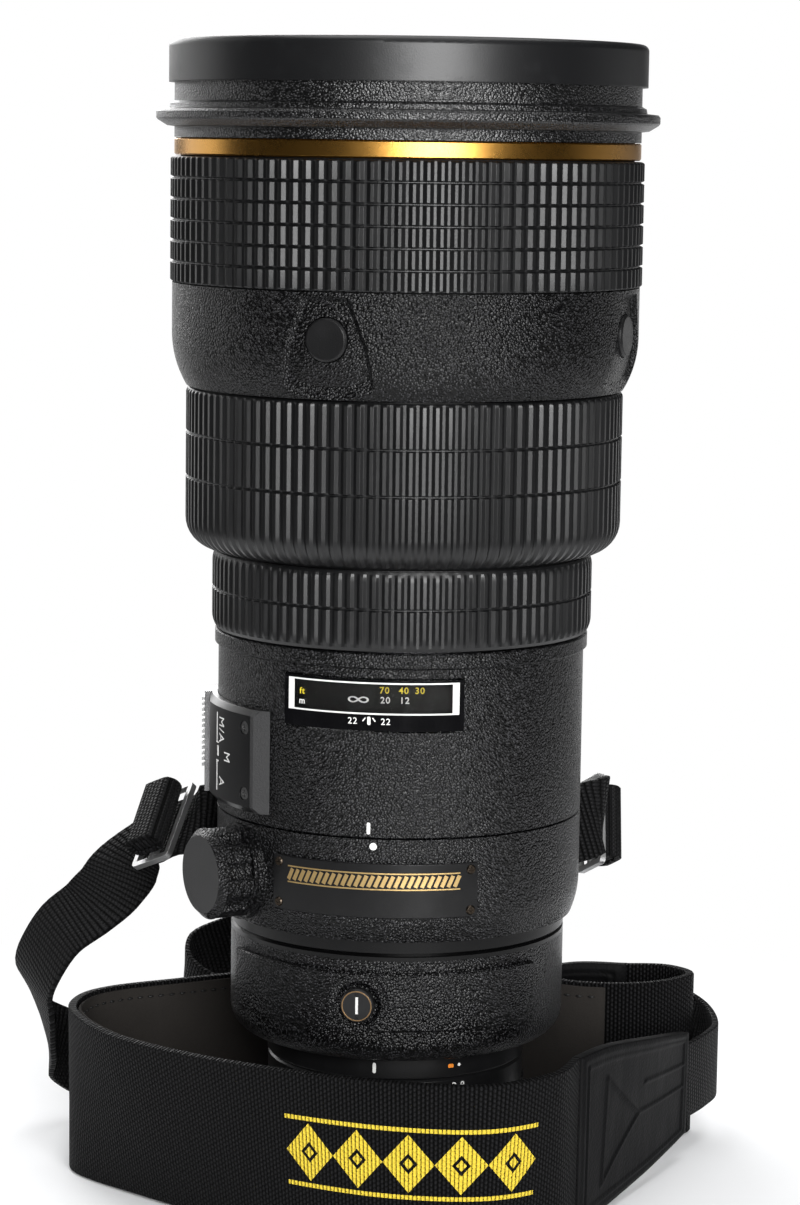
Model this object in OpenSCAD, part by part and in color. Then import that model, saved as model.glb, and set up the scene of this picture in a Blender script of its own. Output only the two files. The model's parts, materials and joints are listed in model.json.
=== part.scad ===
// Long telephoto lens for an interchangeable-lens camera, standing on its rear cap, with its carrying strap.
// The lens axis is +Z, its upper side faces -Y, and z = 0 is the surface that the rear cap stands on.

/* [Barrel heights] */
// Height of the rear cap, up to the mount flange
cap_h = 19; // [16:0.5:24]
// Height of the turning part of the aperture ring
aperture_h = 12.4; // [10:0.2:16]
// Height of the fixed index ring above the aperture ring
index_h = 6; // [5:0.5:9]
// Height of the rear barrel that takes the drop-in filter
rear_h = 31; // [29:0.5:36]
// Height of the turning tripod collar
collar_h = 25.6; // [24:0.2:32]
// Height of the main barrel with the distance window
main_h = 45; // [42:0.5:55]
// Height of the narrow part of the focus ring
narrow_h = 20; // [16:0.5:26]
// Height of the wide part of the focus ring
wide_h = 40.2; // [34:0.2:50]
// Height of the barrel that carries the four hold buttons
button_h = 25.3; // [24:0.1:32]
// Height of the fixed front grip
grip_h = 31; // [27:0.5:40]
// Height of the coloured ring
gold_h = 4.4; // [3:0.2:6]
// Height of the hood collar with its flange
hood_h = 13.4; // [12:0.2:18]
// Height of the rubber bumper at the front
bumper_h = 10.4; // [8:0.2:13]

/* [Barrel radii] */
// Outer radius of the main barrel and of the tripod collar, from which the other rings step in or out
main_r = 45.9; // [44:0.1:48]
// How far the narrow focus grip stands out over the main barrel
narrow_out = 1.7; // [1.4:0.1:2.6]
// How far the wide focus grip stands out over the narrow one
wide_out = 6.8; // [5.4:0.1:8]
// How far the button barrel stands out over the wide focus grip
button_out = 3.6; // [2.8:0.1:4.4]
// How far the front grip stands out over the button barrel
grip_out = 0.5; // [0.2:0.1:1]
// How far the coloured ring lies in from the button barrel
gold_in = 0.4; // [0.2:0.1:0.8]
// How far the flange that a hood locks under stands out over the hood collar
flange_out = 4.5; // [3.6:0.1:5.6]
// How far the rubber bumper stands out over the hood collar
bumper_out = 1.4; // [1:0.1:2]
// How far the rear barrel lies in from the main barrel
rear_in = 3.7; // [3.4:0.1:4.2]
// How far the aperture ring stands out over the tube inside it
aperture_out = 3.9; // [3:0.1:4.6]

/* [Grips] */
// Ribs around the front grip
grip_ribs = 112; // [60:2:144]
// Rows of ribs up the front grip
grip_rows = 6; // [2:1:8]
// Ribs around the wide focus grip
wide_ribs = 110; // [60:2:132]
// Ribs around the narrow focus grip
narrow_ribs = 98; // [48:2:120]

/* [Controls] */
// Radius of a hold button
hold_r = 5.2; // [4:0.1:5.6]
// Travel of a hold button
hold_travel = 1; // [0.5:0.1:1.2]
// Length of the focus mode slider
mode_len = 18; // [14:0.2:18]
// Travel of both sliders on the switch panel
slider_travel = 4.5; // [3:0.5:4.5]
// Radius of the collar lock knob
knob_r = 11.3; // [9:0.1:11.5]
// Length of the collar lock knob
knob_len = 8.8; // [5:0.2:10]

/* [Tripod foot] */
// Distance from the lens axis to the base of the foot
foot_reach = 75; // [70:0.5:84]
// Length of the foot along the lens
foot_len = 58; // [56:1:70]
// Width of the foot
foot_w = 36; // [32:1:44]

/* [Filter] */
// Radius of the drop-in filter frame
frame_r = 29.5; // [28.5:0.1:31]
// Radius of the filter lock knob
filter_knob_r = 4.2; // [3.4:0.1:4.8]

/* [Strap] */
// Width of the shoulder band
band_w = 43.5; // [36:0.5:43.5]
// Thickness of the shoulder band
band_t = 2.2; // [1.6:0.1:2.4]
// Width of the webbing
web_w = 20; // [16:0.5:20]
// Thickness of the webbing
web_t = 1.6; // [1.2:0.1:1.8]

/* [Hidden] */
$fn = 96;
// seam between turning rings, and clearance between nested pieces of one body
seam = 0.3;
fit = 0.1;
// levels up the lens
flange_t = 2;
z_mount = cap_h + seam;
z_ap0 = z_mount + flange_t + seam;
z_ap1 = z_ap0 + aperture_h;
z_ix0 = z_ap1 + seam;
z_rear0 = z_ix0 + index_h;
z_rear1 = z_rear0 + rear_h;
z_col0 = z_rear1 + seam;
z_col1 = z_col0 + collar_h;
z_main0 = z_col1 + seam;
z_main1 = z_main0 + main_h;
z_foc0 = z_main1 + seam;
z_step = z_foc0 + narrow_h;
z_foc1 = z_step + wide_h;
z_btn0 = z_foc1 + seam;
z_btn1 = z_btn0 + button_h;
z_grip1 = z_btn1 + grip_h;
z_gold1 = z_grip1 + gold_h;
z_hood1 = z_gold1 + hood_h;
z_top = z_hood1 + bumper_h;
// outer radii, each stepped from the one below it
narrow_r = main_r + narrow_out;
wide_r = narrow_r + wide_out;
button_r = wide_r + button_out;
grip_r = button_r + grip_out;
gold_r = button_r - gold_in;
hood_r = gold_r;
flange_r = hood_r + flange_out;
bumper_r = hood_r + bumper_out;
rear_r = main_r - rear_in;
// walls, and radii inside the lens
wall = 2;
rib_t = 1.7;
front_tube_r = button_r - wall;
front_bore = front_tube_r - 1.4;
button_bore = wide_r - 3.4;
button_hollow = button_bore + 0.6;
drum_r = main_r - 1.9;
core_r = drum_r - 1.4;
core_bore = core_r - wall;
core_bead = core_r + 1.3;
waist_r = rear_r - 2.4;
waist_bore = waist_r - wall;
collar_bore = waist_r + seam;
// lens mount: throat, spigot, claws and flange of a three-claw bayonet, and the tube behind it
throat_r = 20.6;
spigot_r = throat_r + wall;
claw_r = spigot_r + wall;
mount_r = claw_r + 5.8;
mount_screw_r = mount_r - 3.8;
rear_tube_r = mount_r - 1.4;
rear_tube_bore = rear_tube_r - 7;
aperture_r = rear_tube_r + aperture_out;
cap_r = aperture_r - 0.8;
// cells that hold the glasses
cell_lip = 2.2;
cell_t = 3.6;
cell_deep = 26;
// thickness, upper curve and lower curve of each glass
front_glass_form = [6.4, 340, 0];
front_element_form = [14, 240, 300];
fixed_glass_form = [11, 150, 400];
focus_glass_form = [9, 260, 160];
rear_glass_form = [7, 120, 90];
// distance scale and its window
window_z = z_main1 - 19.2;
window_h = 13.2;
window_mid = -0.8;
window_a = 28.3;
// buttons, each in a tent-shaped recess
button_z = z_btn0 + 14.2;
button_angles = [-11, 79, 169, 259];
tent_t = 1.4;
button_face = button_r - tent_t + 0.7;
// switch panel, centred on the lens's left side
panel_a = -82;
panel_half = 49;
panel_z = z_main0 + 3;
panel_h = 25.5;
panel_r = main_r + 2.7;
panel_flat = panel_r - 1.1;
slot_w = 4.8;
slot_rim = 1.25;
slot_z = panel_z + slot_rim;
slot_h = panel_h - 2 * slot_rim;
slot_top = panel_flat + 1.5;
limit_a = -27;
limit_len = 10;
screw_a = 38.6;
screw_z = 4.6;
// collar
knob_a = -51;
knob_z = z_col0 + 12.9;
boss_r = 12;
boss_top = main_r + 1.5;
stud_r = 3;
plate_a = 32.6;
plate_z = z_col0 + 6.4;
plate_h = 13.4;
pad_y = main_r + 2.1;
pad_z = z_col0 + 13.6;
pad_w = 30;
pad_h = 20;
pad_screw_x = 10.5;
pad_screw_z = 6.5;
lug_a = 138;
lug_r = main_r + 1;
lug_z = z_col0 + 13.2;
// drop-in filter
filter_z = z_rear0 + 16;
frame_t = 8;
cover_a = 59;
cover_z = z_rear0 + 8.7;
cover_h = 14.6;
cover_t = 1.1;
filter_knob_a = -4;
filter_knob_z = z_rear0 + 15.6;

// slides of the strap: clearance over the webbing and thickness
slide_gap = 0.95;
slide_t = 1.6;

// strap routes: centre x, y, z, the direction across the width, share of the width
band_route = [
  [49.6, -38, 22, 0, -0.02, 1, 1], [45.2, -51, 22, 0.01, -0.1, 1, 1], [31, -63, 22, 0.01, -0.12, 1, 1],
  [9, -65, 22, 0, -0.1, 1, 1], [-15, -59, 22, -0.03, -0.13, 1, 1], [-41, -47, 22, -0.07, -0.2, 1, 1],
  [-64, -32, 22, -0.08, -0.2, 1, 1], [-80, -15, 22, 0, -0.08, 1, 1], [-82, -2, 22, 0, 0, 1, 1],
  [-76, 9, 22, 0, 0, 1, 1], [-61, 20, 22, 0, 0, 1, 1], [-45, 31, 22, 0, 0, 1, 1],
  [-24, 44, 22, 0, 0, 1, 1], [2, 48, 22, 0, 0, 1, 1], [24, 45, 22, 0, 0, 1, 1],
  [43, 38, 22, 0, 0, 1, 1], [57, 39, 22, 0, 0, 1, 1], [67, 45, 22, 0, 0, 1, 1],
  [72, 54, 22, 0, 0, 1, 1], [65, 61, 22, 0, 0, 1, 1], [54, 60, 22, 0, 0, 1, 1]];
patch_front_route = [
  [50.1, -36.7, 22, 0, -0.02, 1, 1], [55.3, -22, 22, 0.02, -0.06, 1, 0.97],
  [64, 3, 21, 0.03, -0.06, 1, 0.82], [72, 30, 20, 0, 0, 1, 0.62]];
patch_back_route = [
  [53.3, 60, 22, 0, 0, 1, 1], [40, 60, 22, 0, 0, 1, 0.98], [28, 60, 21, 0, 0, 1, 0.85],
  [12, 60, 20, 0, 0, 1, 0.6]];
// rings of the smoothed routes that carry the slides
right_slide_ring = 36;
left_slide_ring = 30;
// middle of the opening in each lug, where the webbing ends
lug_x = (lug_r + 4.2) * sin(lug_a);
lug_y = -(lug_r + 4.2) * cos(lug_a);
webbing_right_route = [
  [72.3, 30.8, 20, 0, 0, 1, 1], [77, 44, 20, 0, 0, 1, 1], [79, 57, 20, 0, 0, 1, 1], [74, 71, 22, 0, 0, 1, 1],
  [60, 78, 26, 0, 0, 1, 1], [39, 79, 28, 0, 0, 1, 1], [9, 77, 26, 0, 0, 1, 1], [-26, 73, 20, 0, 0, 1, 1],
  [-50, 71, 20, 0, 0, 1, 1], [-64, 72, 23, 0.05, 0, 1, 1], [-71, 79, 27, 0.1, 0, 1, 1],
  [-69, 88, 31, 0.1, 0, 1, 1], [-58, 93, 35, 0.05, 0, 1, 1], [-40, 94, 42, 0, 0, 1, 1],
  [-18, 92, 52, 0, -0.1, 1, 1], [6, 85, 62, -0.05, -0.1, 1, 1], [25, 74, 71, -0.1, 0.1, 1, 1],
  [lug_x + 2, lug_y + 23.5, lug_z - 6, -0.05, 0.3, 1, 1],
  [lug_x + 8, lug_y + 15.5, lug_z - 1.2, 0, 0.4, 1, 1],
  [lug_x + 13.4, lug_y + 7.8, lug_z + 3, 0.1, 0.35, 1, 1],
  [lug_x + 13.6, lug_y + 2.2, lug_z + 3.4, 0.1, 0.2, 1, 1],
  [lug_x + 9.4, lug_y - 0.6, lug_z + 2, 0, 0.1, 1, 1], [lug_x + 4.6, lug_y - 1.2, lug_z + 0.6, 0, 0, 1, 1],
  [lug_x, lug_y, lug_z, 0, 0, 1, 1], [lug_x - 4.6, lug_y + 4, lug_z, 0, 0, 1, 1]];
webbing_left_route = [
  [10.8, 60.1, 20, 0, 0, 1, 1], [-8, 61, 17, 0, 0, 1, 1], [-38, 56, 14, 0, 0, 1, 1],
  [-67, 46, 13, 0, 0, 1, 1], [-84, 38, 14, 0, 0.1, 1, 1], [-95, 27, 23, -0.13, 0.18, 0.95, 1],
  [-96, 17, 31, -0.32, 0.46, 0.7, 1],
  [-96, 9, 39, -0.51, 0.74, 0.35, 1], [-96, 4, 46, -0.61, 0.74, 0.2, 1], [-93, 1, 53, -0.65, 0.67, 0.3, 1],
  [-88, 1, 60.5, -0.62, 0.64, 0.4, 1], [-81, 4, 66, -0.59, 0.62, 0.48, 1],
  [-76.5, 9, 70.5, -0.5, 0.65, 0.55, 1],
  [-73, 14.5, 76, -0.2, 0.7, 0.68, 1], [-68, 16.8, 81.6, 0.25, 0.64, 0.71, 1],
  [-61.8, 13.8, 84.6, 0.33, 0.61, 0.72, 1], [-54.2, 10.2, 88.2, 0.33, 0.6, 0.73, 1],
  [-lug_x - 14.6, lug_y - 24.6, lug_z + 2.4, 0.15, 0.25, 0.95, 1],
  [-lug_x - 13.6, lug_y - 18, lug_z + 0.6, 0, 0, 1, 1],
  [-lug_x - 9.8, lug_y - 11, lug_z, 0, 0, 1, 1], [-lug_x - 5, lug_y - 5, lug_z, 0, 0, 1, 1],
  [-lug_x, lug_y, lug_z, 0, 0, 1, 1], [-lug_x + 4.6, lug_y + 4.4, lug_z, 0, 0, 1, 1]];

function unit(v) = v / norm(v);
function head(r) = [r[0], r[1], r[2]];
function side(r) = [r[3], r[4], r[5]];
// point at t between two rows of a route, on a smooth curve through all of them
function between(p, i, t) = let (
  a = p[max(i - 1, 0)], b = p[i], c = p[i + 1], d = p[min(i + 2, len(p) - 1)])
  (2 * b + (c - a) * t + (2 * a - 5 * b + 4 * c - d) * t * t + (3 * b - a - 3 * c + d) * t * t * t) / 2;
function smooth(p, n) = [for (i = [0:len(p) - 2]) for (k = [0:n - 1]) between(p, i, k / n), p[len(p) - 1]];
function along(p, i) = unit(head(p[min(i + 1, len(p) - 1)]) - head(p[max(i - 1, 0)]));
function across(p, i) = let (t = along(p, i), u = unit(side(p[i]))) unit(u - t * (u * t));
function facing(p, i) = cross(along(p, i), across(p, i));

// flat strap swept along a smoothed route from ring a to ring b, moved off its face by off
module strap(route, w, t, a = 0, b = undef, off = 0, n = 2) {
  p = smooth(route, n);
  last = is_undef(b) ? len(p) - 1 : b;
  m = last - a + 1;
  c = t / 4;
  points = [for (i = [a:last]) let (u = across(p, i), f = facing(p, i), h = w * p[i][6] / 2)
    for (q = [[h - c, t / 2], [h, t / 2 - c], [h, c - t / 2], [h - c, -t / 2],
              [c - h, -t / 2], [-h, c - t / 2], [-h, t / 2 - c], [c - h, t / 2]])
      head(p[i]) + u * q[0] + f * (q[1] + off)];
  sides = [for (i = [0:m - 2]) for (k = [0:7]) let (
    e = i * 8 + k, g = i * 8 + (k + 1) % 8)
    each k == 3 ? [[e, g, e + 8], [g, g + 8, e + 8]] : [[e, g, g + 8], [e, g + 8, e + 8]]];
  polyhedron(points, concat(sides, [[for (k = [7:-1:0]) k], [for (k = [0:7]) (m - 1) * 8 + k]]));
}

// child drawn at a ring of a route: x across the strap, y along it, z off its face
module on_strap(route, i, n = 2) {
  p = smooth(route, n);
  u = across(p, i);
  t = along(p, i);
  f = cross(u, t);
  c = head(p[i]);
  multmatrix([[u[0], t[0], f[0], c[0]], [u[1], t[1], f[1], c[1]], [u[2], t[2], f[2], c[2]], [0, 0, 0, 1]])
    children();
}

// child drawn on the outside of the lens: local -y points out from the axis at angle a from the upper side
module at(a) {
  rotate([0, 0, a]) children();
}

module tube(r, bore, z0, z1) {
  translate([0, 0, z0]) difference() {
    cylinder(r = r, h = z1 - z0);
    translate([0, 0, -1]) cylinder(r = bore, h = z1 - z0 + 2);
  }
}

// outline of a ribbed ring: ribs with narrow flat tops and sloping flanks
function ribs(n, top, root, share = 0.38, foot = 0.86) = [for (i = [0:n - 1]) let (
  p = 360 / n, a = i * p, w = p * share / 2, v = p * foot / 2)
  each [[root * sin(a - v), root * cos(a - v)], [top * sin(a - w), top * cos(a - w)],
        [top * sin(a + w), top * cos(a + w)], [root * sin(a + v), root * cos(a + v)]]];

// ring-shaped V groove that parts two rows of ribs
module row_groove(r, depth, z, half) {
  translate([0, 0, z]) rotate_extrude($fn = 360)
    polygon([[r - depth, -half * 0.3], [r + 1, -half * 1.7], [r + 1, half * 1.7], [r - depth, half * 0.3]]);
}

module front_bumper() {
  round = 1.7;
  in = 1.6;
  color([0.07, 0.07, 0.07]) translate([0, 0, z_hood1]) rotate_extrude() union() {
    translate([front_bore, 0]) square([bumper_r - front_bore, bumper_h - round]);
    translate([front_bore + in, 0]) square([bumper_r - front_bore - in - round, bumper_h]);
    translate([bumper_r - round, bumper_h - round]) circle(round);
    translate([front_bore + in, bumper_h - in]) circle(in);
  }
}

// collar that a hood slides over: a bead, and a flange that the hood locks under
module hood_collar() {
  color([0.1, 0.1, 0.1]) translate([0, 0, z_gold1]) rotate_extrude() difference() {
    polygon([[front_bore, 0], [hood_r, 0], [hood_r, 2.6], [hood_r + flange_out * 0.4, 2.8],
             [flange_r - 0.4, 4.2], [flange_r, 4.7], [flange_r, 6.2], [flange_r - 0.5, 6.8],
             [hood_r + 1.3, 7.1], [hood_r + 1.1, 8.2], [hood_r, 8.8], [hood_r, hood_h],
             [front_bore, hood_h]]);
    for (k = [0:2]) translate([front_bore, hood_h * 0.56 + 1.6 * k]) circle(0.5, $fn = 4);
  }
}

module gold_ring() {
  color([0.72, 0.55, 0.25]) translate([0, 0, z_grip1]) rotate_extrude()
    polygon([[front_tube_r + fit, fit], [gold_r - 0.4, fit], [gold_r, 0.5], [gold_r, gold_h - 0.5],
             [gold_r - 0.4, gold_h - fit], [front_tube_r + fit, gold_h - fit]]);
}

module front_grip() {
  gap = 0.2;
  tall = grip_h - 2 * gap;
  color([0.08, 0.08, 0.08]) translate([0, 0, z_btn1 + gap]) difference() {
    intersection() {
      linear_extrude(tall) difference() {
        polygon(ribs(grip_ribs, grip_r, grip_r - 1.4));
        circle(front_tube_r + fit, $fn = 360);
      }
      rotate_extrude($fn = 360) polygon([[0, 0], [grip_r - 0.9, 0], [grip_r + 0.1, 1.4],
        [grip_r + 0.1, tall - 1.4], [grip_r - 0.9, tall], [0, tall]]);
    }
    for (k = [1:grip_rows - 1]) row_groove(grip_r, 1, k * tall / grip_rows, 0.6);
  }
}

module front_barrel() {
  color([0.1, 0.1, 0.1]) {
    tube(front_tube_r, front_bore, z_btn1, z_gold1);
  }
}

// one glass of radius r and a given form, its lower edge at z
module glass(r, form, z) {
  t = form[0];
  r1 = form[1];
  r2 = form[2];
  translate([0, 0, z]) rotate_extrude() intersection() {
    translate([0, -1]) square([r, t + 2]);
    translate([0, t - r1]) circle(r1, $fn = 720);
    if (r2 > 0) translate([0, r2]) circle(r2, $fn = 720);
    if (r2 == 0) square([r, t]);
  }
}

module front_cell() {
  deep = cell_deep;
  color([0.06, 0.06, 0.06]) translate([0, 0, z_gold1 - deep]) rotate_extrude()
    polygon([[front_bore - cell_t, 0], [front_bore - fit, 0], [front_bore - fit, deep - 0.4],
             [front_bore - 2.6, deep - 0.4], [front_bore - 2.6, deep - 8], [front_bore - wall, deep - 8],
             [front_bore - wall, wall], [front_bore - cell_t, wall]]);
}

module front_glass() {
  color([0.7, 0.8, 0.85, 0.4]) glass(front_bore - 2.7, front_glass_form, z_gold1 - front_glass_form[0] - 1.2);
}

module front_element() {
  color([0.6, 0.75, 0.8, 0.4]) 
    glass(front_bore - wall - fit, front_element_form, z_gold1 - cell_deep + wall + fit);
}

// side outline of the button barrel, set in by t: straight, then drawn in to the focus ring by an arc
module button_side(t) {
  low = button_h * 0.52;
  arc = (button_out * button_out + low * low) / (2 * button_out);
  translate([0, low]) square([button_r - t, button_h]);
  translate([button_r - arc, low]) intersection() {
    circle(arc - t);
    translate([0, -button_h]) square([arc, button_h + 1]);
  }
  translate([0, -1]) square([button_r - arc + fit, button_h]);
}

// half of a tent's outline, drawn out by w
function tent(w) = [[2.2 + w, 7.4 + w * 0.7], [3.6 + w, 5.8 + w * 0.3], [7.4 + w, -2], [12.6 + w, -16]];

module button_barrel() {
  color([0.1, 0.1, 0.1]) difference() {
    translate([0, 0, z_btn0]) rotate_extrude() intersection() {
      button_side(0);
      translate([button_bore, 0]) square([button_r - button_bore, button_h]);
    }
    intersection() {
      for (a = button_angles) at(a) translate([0, 0, button_z]) rotate([90, 0, 0]) hull() for (w = [0, 4.6])
        translate([0, 0, button_r - 3.6 + w * 0.9]) linear_extrude(0.01)
          polygon(concat(tent(w), [for (k = [3:-1:0]) [-tent(w)[k][0], tent(w)[k][1]]]));
      translate([0, 0, z_btn0]) rotate_extrude() difference() {
        translate([button_bore, -1]) square([button_r, button_h + 2]);
        button_side(tent_t);
      }
    }
    for (a = button_angles) at(a) translate([0, -button_bore + 4, button_z]) rotate([90, 0, 0])
      cylinder(r = hold_r + 0.25, h = 16);
    translate([0, 0, z_btn0 + 2.4]) cylinder(r = button_hollow, h = button_h - 4.4);
  }
}

module hold_button(a) {
  back = button_bore - 1.1;
  color([0.12, 0.12, 0.12]) at(a) translate([0, -back, button_z]) rotate([90, 0, 0]) {
    cylinder(r = hold_r + 0.9, h = 0.9);
    cylinder(r = hold_r, h = button_face - back - 0.5);
    translate([0, 0, button_face - back - 0.5]) cylinder(r1 = hold_r, r2 = hold_r - 0.5, h = 0.5);
  }
}

// the metal ring under both focus grips
module focus_ring() {
  a = narrow_r - rib_t;
  b = wide_r - rib_t;
  bore = core_bead + seam;
  color([0.12, 0.12, 0.12]) rotate_extrude()
    polygon([[bore, z_foc0 + fit], [a, z_foc0 + fit], [a, z_step - 0.4], [a + (b - a) * 0.35, z_step + 0.6],
             [b, z_step + 6.6], [b, z_foc1 - fit], [b - 2.2, z_foc1 - fit], [b - 2.2, z_step + 8],
             [bore + 2, z_step + 2], [bore, z_step - 1]]);
}

// rounded foot of the wide grip, its ribs running on round the curve
module grip_foot(low) {
  p = 360 / wide_ribs;
  b = wide_r - rib_t;
  a = narrow_r - rib_t;
  first = a + (b - a) * 0.35 + 0.3;
  turns = [for (i = [0:wide_ribs - 1]) each [[i * p - p * 0.43, 1], [i * p - p * 0.19, 0],
                                             [i * p + p * 0.19, 0], [i * p + p * 0.43, 1]]];
  n = len(turns);
  outer = [for (t = [0, 20, 40, 57, 70]) for (q = turns) let (
    e = low - 1.2 * q[1], r = wide_r - low + e * cos(t))
    [r * sin(q[0]), r * cos(q[0]), low - e * sin(t)]];
  inner = [for (l = [[first, 0.7], [b + fit, 6.1], [b + fit, low]]) for (q = turns)
    [l[0] * sin(q[0]), l[0] * cos(q[0]), l[1]]];
  rows = 8;
  faces = [for (k = [0:rows - 1]) for (i = [0:n - 1]) let (
    e = k * n + i, g = k * n + (i + 1) % n, h = (k + 1) % rows * n)
    each [[e, h + (i + 1) % n, g], [e, h + i, h + (i + 1) % n]]];
  polyhedron(concat(outer, inner), faces);
}

// the wide grip: its lower shoulder is rounded in towards the narrow grip
module focus_grip() {
  low = 7.6;
  tall = wide_h - 0.2;
  color([0.08, 0.08, 0.08]) translate([0, 0, z_step]) {
    difference() {
      intersection() {
        translate([0, 0, low + 0.01]) linear_extrude(tall - low - 0.01) difference() {
          polygon(ribs(wide_ribs, wide_r, wide_r - 1.2));
          circle(wide_r - rib_t + fit, $fn = 360);
        }
        rotate_extrude($fn = 360) polygon([[0, 0], [wide_r + 0.1, 0], [wide_r + 0.1, tall - 1.4],
          [wide_r - 0.8, tall], [0, tall]]);
      }
      for (k = [1, 2]) row_groove(wide_r, 0.9, tall - k * tall * 0.275, 0.6);
    }
    grip_foot(low);
  }
}

module narrow_grip() {
  gap = 0.2;
  tall = narrow_h - 0.8;
  color([0.08, 0.08, 0.08]) translate([0, 0, z_foc0 + gap]) difference() {
    intersection() {
      linear_extrude(tall) difference() {
        polygon(ribs(narrow_ribs, narrow_r, narrow_r - 1.2));
        circle(narrow_r - rib_t + fit, $fn = 360);
      }
      rotate_extrude($fn = 360) polygon([[0, 0], [narrow_r - 1.3, 0], [narrow_r + 0.1, 3.6],
        [narrow_r + 0.1, tall - 3.2], [narrow_r - 1.1, tall], [0, tall]]);
    }
    row_groove(narrow_r, 0.9, tall / 2 + 0.4, 0.6);
  }
}

// structural tube inside the lens, from the rear barrel to the front barrel
module core_tube() {
  color([0.25, 0.25, 0.25]) rotate_extrude()
    polygon([[waist_bore, z_rear1 - 4.6], [waist_r - 0.2, z_rear1 - 4.6], [waist_r, z_rear1],
             [waist_r, z_main0], [core_r, z_main0], [core_r, z_foc0 + 2], [core_bead, z_foc0 + 2],
             [core_bead, z_step - 2], [core_r, z_step - 2], [core_r, z_btn0 + fit],
             [button_bore - 0.2, z_btn0 + fit],
             [button_bore - 0.2, z_btn0 + 2.2], [core_bore, z_btn0 + 2.2], [core_bore, z_main0 + 2],
             [waist_bore, z_main0 + 1]]);
}

module fixed_cell() {
  color([0.06, 0.06, 0.06]) translate([0, 0, z_foc1 - 17]) rotate_extrude()
    polygon([[core_bore - cell_t - cell_lip, 0], [core_bore - fit, 0], [core_bore - fit, 15],
             [core_bore - cell_t, 15], [core_bore - cell_t, wall], [core_bore - cell_t - cell_lip, wall]]);
}

module fixed_glass() {
  color([0.6, 0.75, 0.8, 0.4]) 
    glass(core_bore - cell_t - fit, fixed_glass_form, z_foc1 - 15 + fit);
}

module focus_cell() {
  side = cell_t + 1;
  color([0.06, 0.06, 0.06]) translate([0, 0, z_step - 14]) rotate_extrude()
    polygon([[core_bore - side - cell_lip, 0], [core_bore - seam, 0], [core_bore - seam, 22],
             [core_bore - side, 22], [core_bore - side, wall], [core_bore - side - cell_lip, wall]]);
}

module focus_glass() {
  color([0.6, 0.75, 0.8, 0.4]) 
    glass(core_bore - cell_t - 1 - fit, focus_glass_form, z_step - 12 + fit);
}

// ring motor: a stator with its comb of teeth under a plain rotor
module ring_motor() {
  stator_r = wide_r - 5.4;
  color([0.45, 0.4, 0.3]) translate([0, 0, z_step + 14]) {
    difference() {
      tube(stator_r, core_r + fit, 0, 7);
      for (k = [0:35]) rotate([0, 0, 10 * k]) translate([core_r + 1.8, -0.5, 3])
        cube([stator_r - core_r, 1, 2.6]);
    }
    tube(stator_r - 1.2, core_r + 0.8, 6.9, 9.4);
  }
}

module main_barrel() {
  lip = 0.9;
  color([0.1, 0.1, 0.1]) difference() {
    rotate_extrude() polygon([[core_r + fit, z_main0], [main_r - 0.3, z_main0], [main_r, z_main0 + 0.3],
      [main_r, z_main1 - 4], [main_r + lip, z_main1 - 3.4], [main_r + lip, z_main1 - 0.3],
      [main_r + lip - 0.3, z_main1], [drum_r + seam, z_main1], [drum_r + seam, window_z - 2],
      [core_r + fit, window_z - 2]]);
    // seat for the window and the opening behind it
    at(window_mid) translate([0, 0, window_z]) rotate([0, 0, -90 - window_a])
      rotate_extrude(angle = 2 * window_a) translate([main_r - 0.8, 0]) square([4, window_h]);
    at(window_mid) translate([0, 0, window_z + 3.4]) rotate([0, 0, -90 - window_a + 2])
      rotate_extrude(angle = 2 * window_a - 4) translate([drum_r - 2, 0]) square([6, window_h - 4.4]);
  }
}

module scale_window() {
  color([0.05, 0.05, 0.06, 0.5]) at(window_mid) translate([0, 0, window_z + 0.15])
    rotate([0, 0, -90 - window_a + 0.2]) rotate_extrude(angle = 2 * window_a - 0.4)
      polygon([[main_r - 0.65, 0], [main_r + 0.15, 0], [main_r + 0.35, 0.3], [main_r + 0.35, window_h - 0.6],
               [main_r + 0.15, window_h - 0.3], [main_r - 0.65, window_h - 0.3]]);
}

module scale_drum() {
  color([0.04, 0.04, 0.04]) tube(drum_r, core_r + seam, window_z - 1.6, z_main1 - 1);
}

// flat slot for a slider, cut through the panel
module slider_slot(z, h) {
  translate([-slot_w / 2, -main_r - 14, z]) cube([slot_w, 20, h]);
}

// raised frame round a slider's slot
module slot_frame(z, h) {
  translate([-slot_w / 2 - slot_rim, -slot_top, z - slot_rim])
    cube([slot_w + 2 * slot_rim, slot_top - main_r - 1, h + 2 * slot_rim]);
}

module panel_screw_places() {
  for (s = [-1, 1], z = [screw_z, panel_h - screw_z])
    at(s * screw_a) translate([0, -panel_r + 0.8, panel_z + z]) rotate([90, 0, 0]) children();
}

module switch_panel() {
  color([0.09, 0.09, 0.09]) at(panel_a) difference() {
    union() {
      difference() {
        rotate([0, 0, -90 - panel_half]) rotate_extrude(angle = 2 * panel_half) translate([0, panel_z])
          polygon([[main_r + fit, 0], [panel_r - 1.2, 0], [panel_r, 1.4], [panel_r, panel_h - 1.4],
                   [panel_r - 1.2, panel_h], [main_r + fit, panel_h]]);
        translate([-40, -80 - panel_flat, panel_z - 1]) cube([80, 80, panel_h + 2]);
        for (s = [-1, 1]) at(s * panel_half) translate([-s * 3, -main_r - 0.9, panel_z - 1])
          rotate([0, 0, s * 34]) translate([-20, -20, 0]) cube([40, 20, panel_h + 2]);
      }
      slot_frame(slot_z, slot_h);
    }
    slider_slot(slot_z, slot_h);
    at(limit_a) slider_slot(slot_z + 2, limit_len + slider_travel + 1.2);
    panel_screw_places() cylinder(r = 1.7, h = 4);
  }
}

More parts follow.
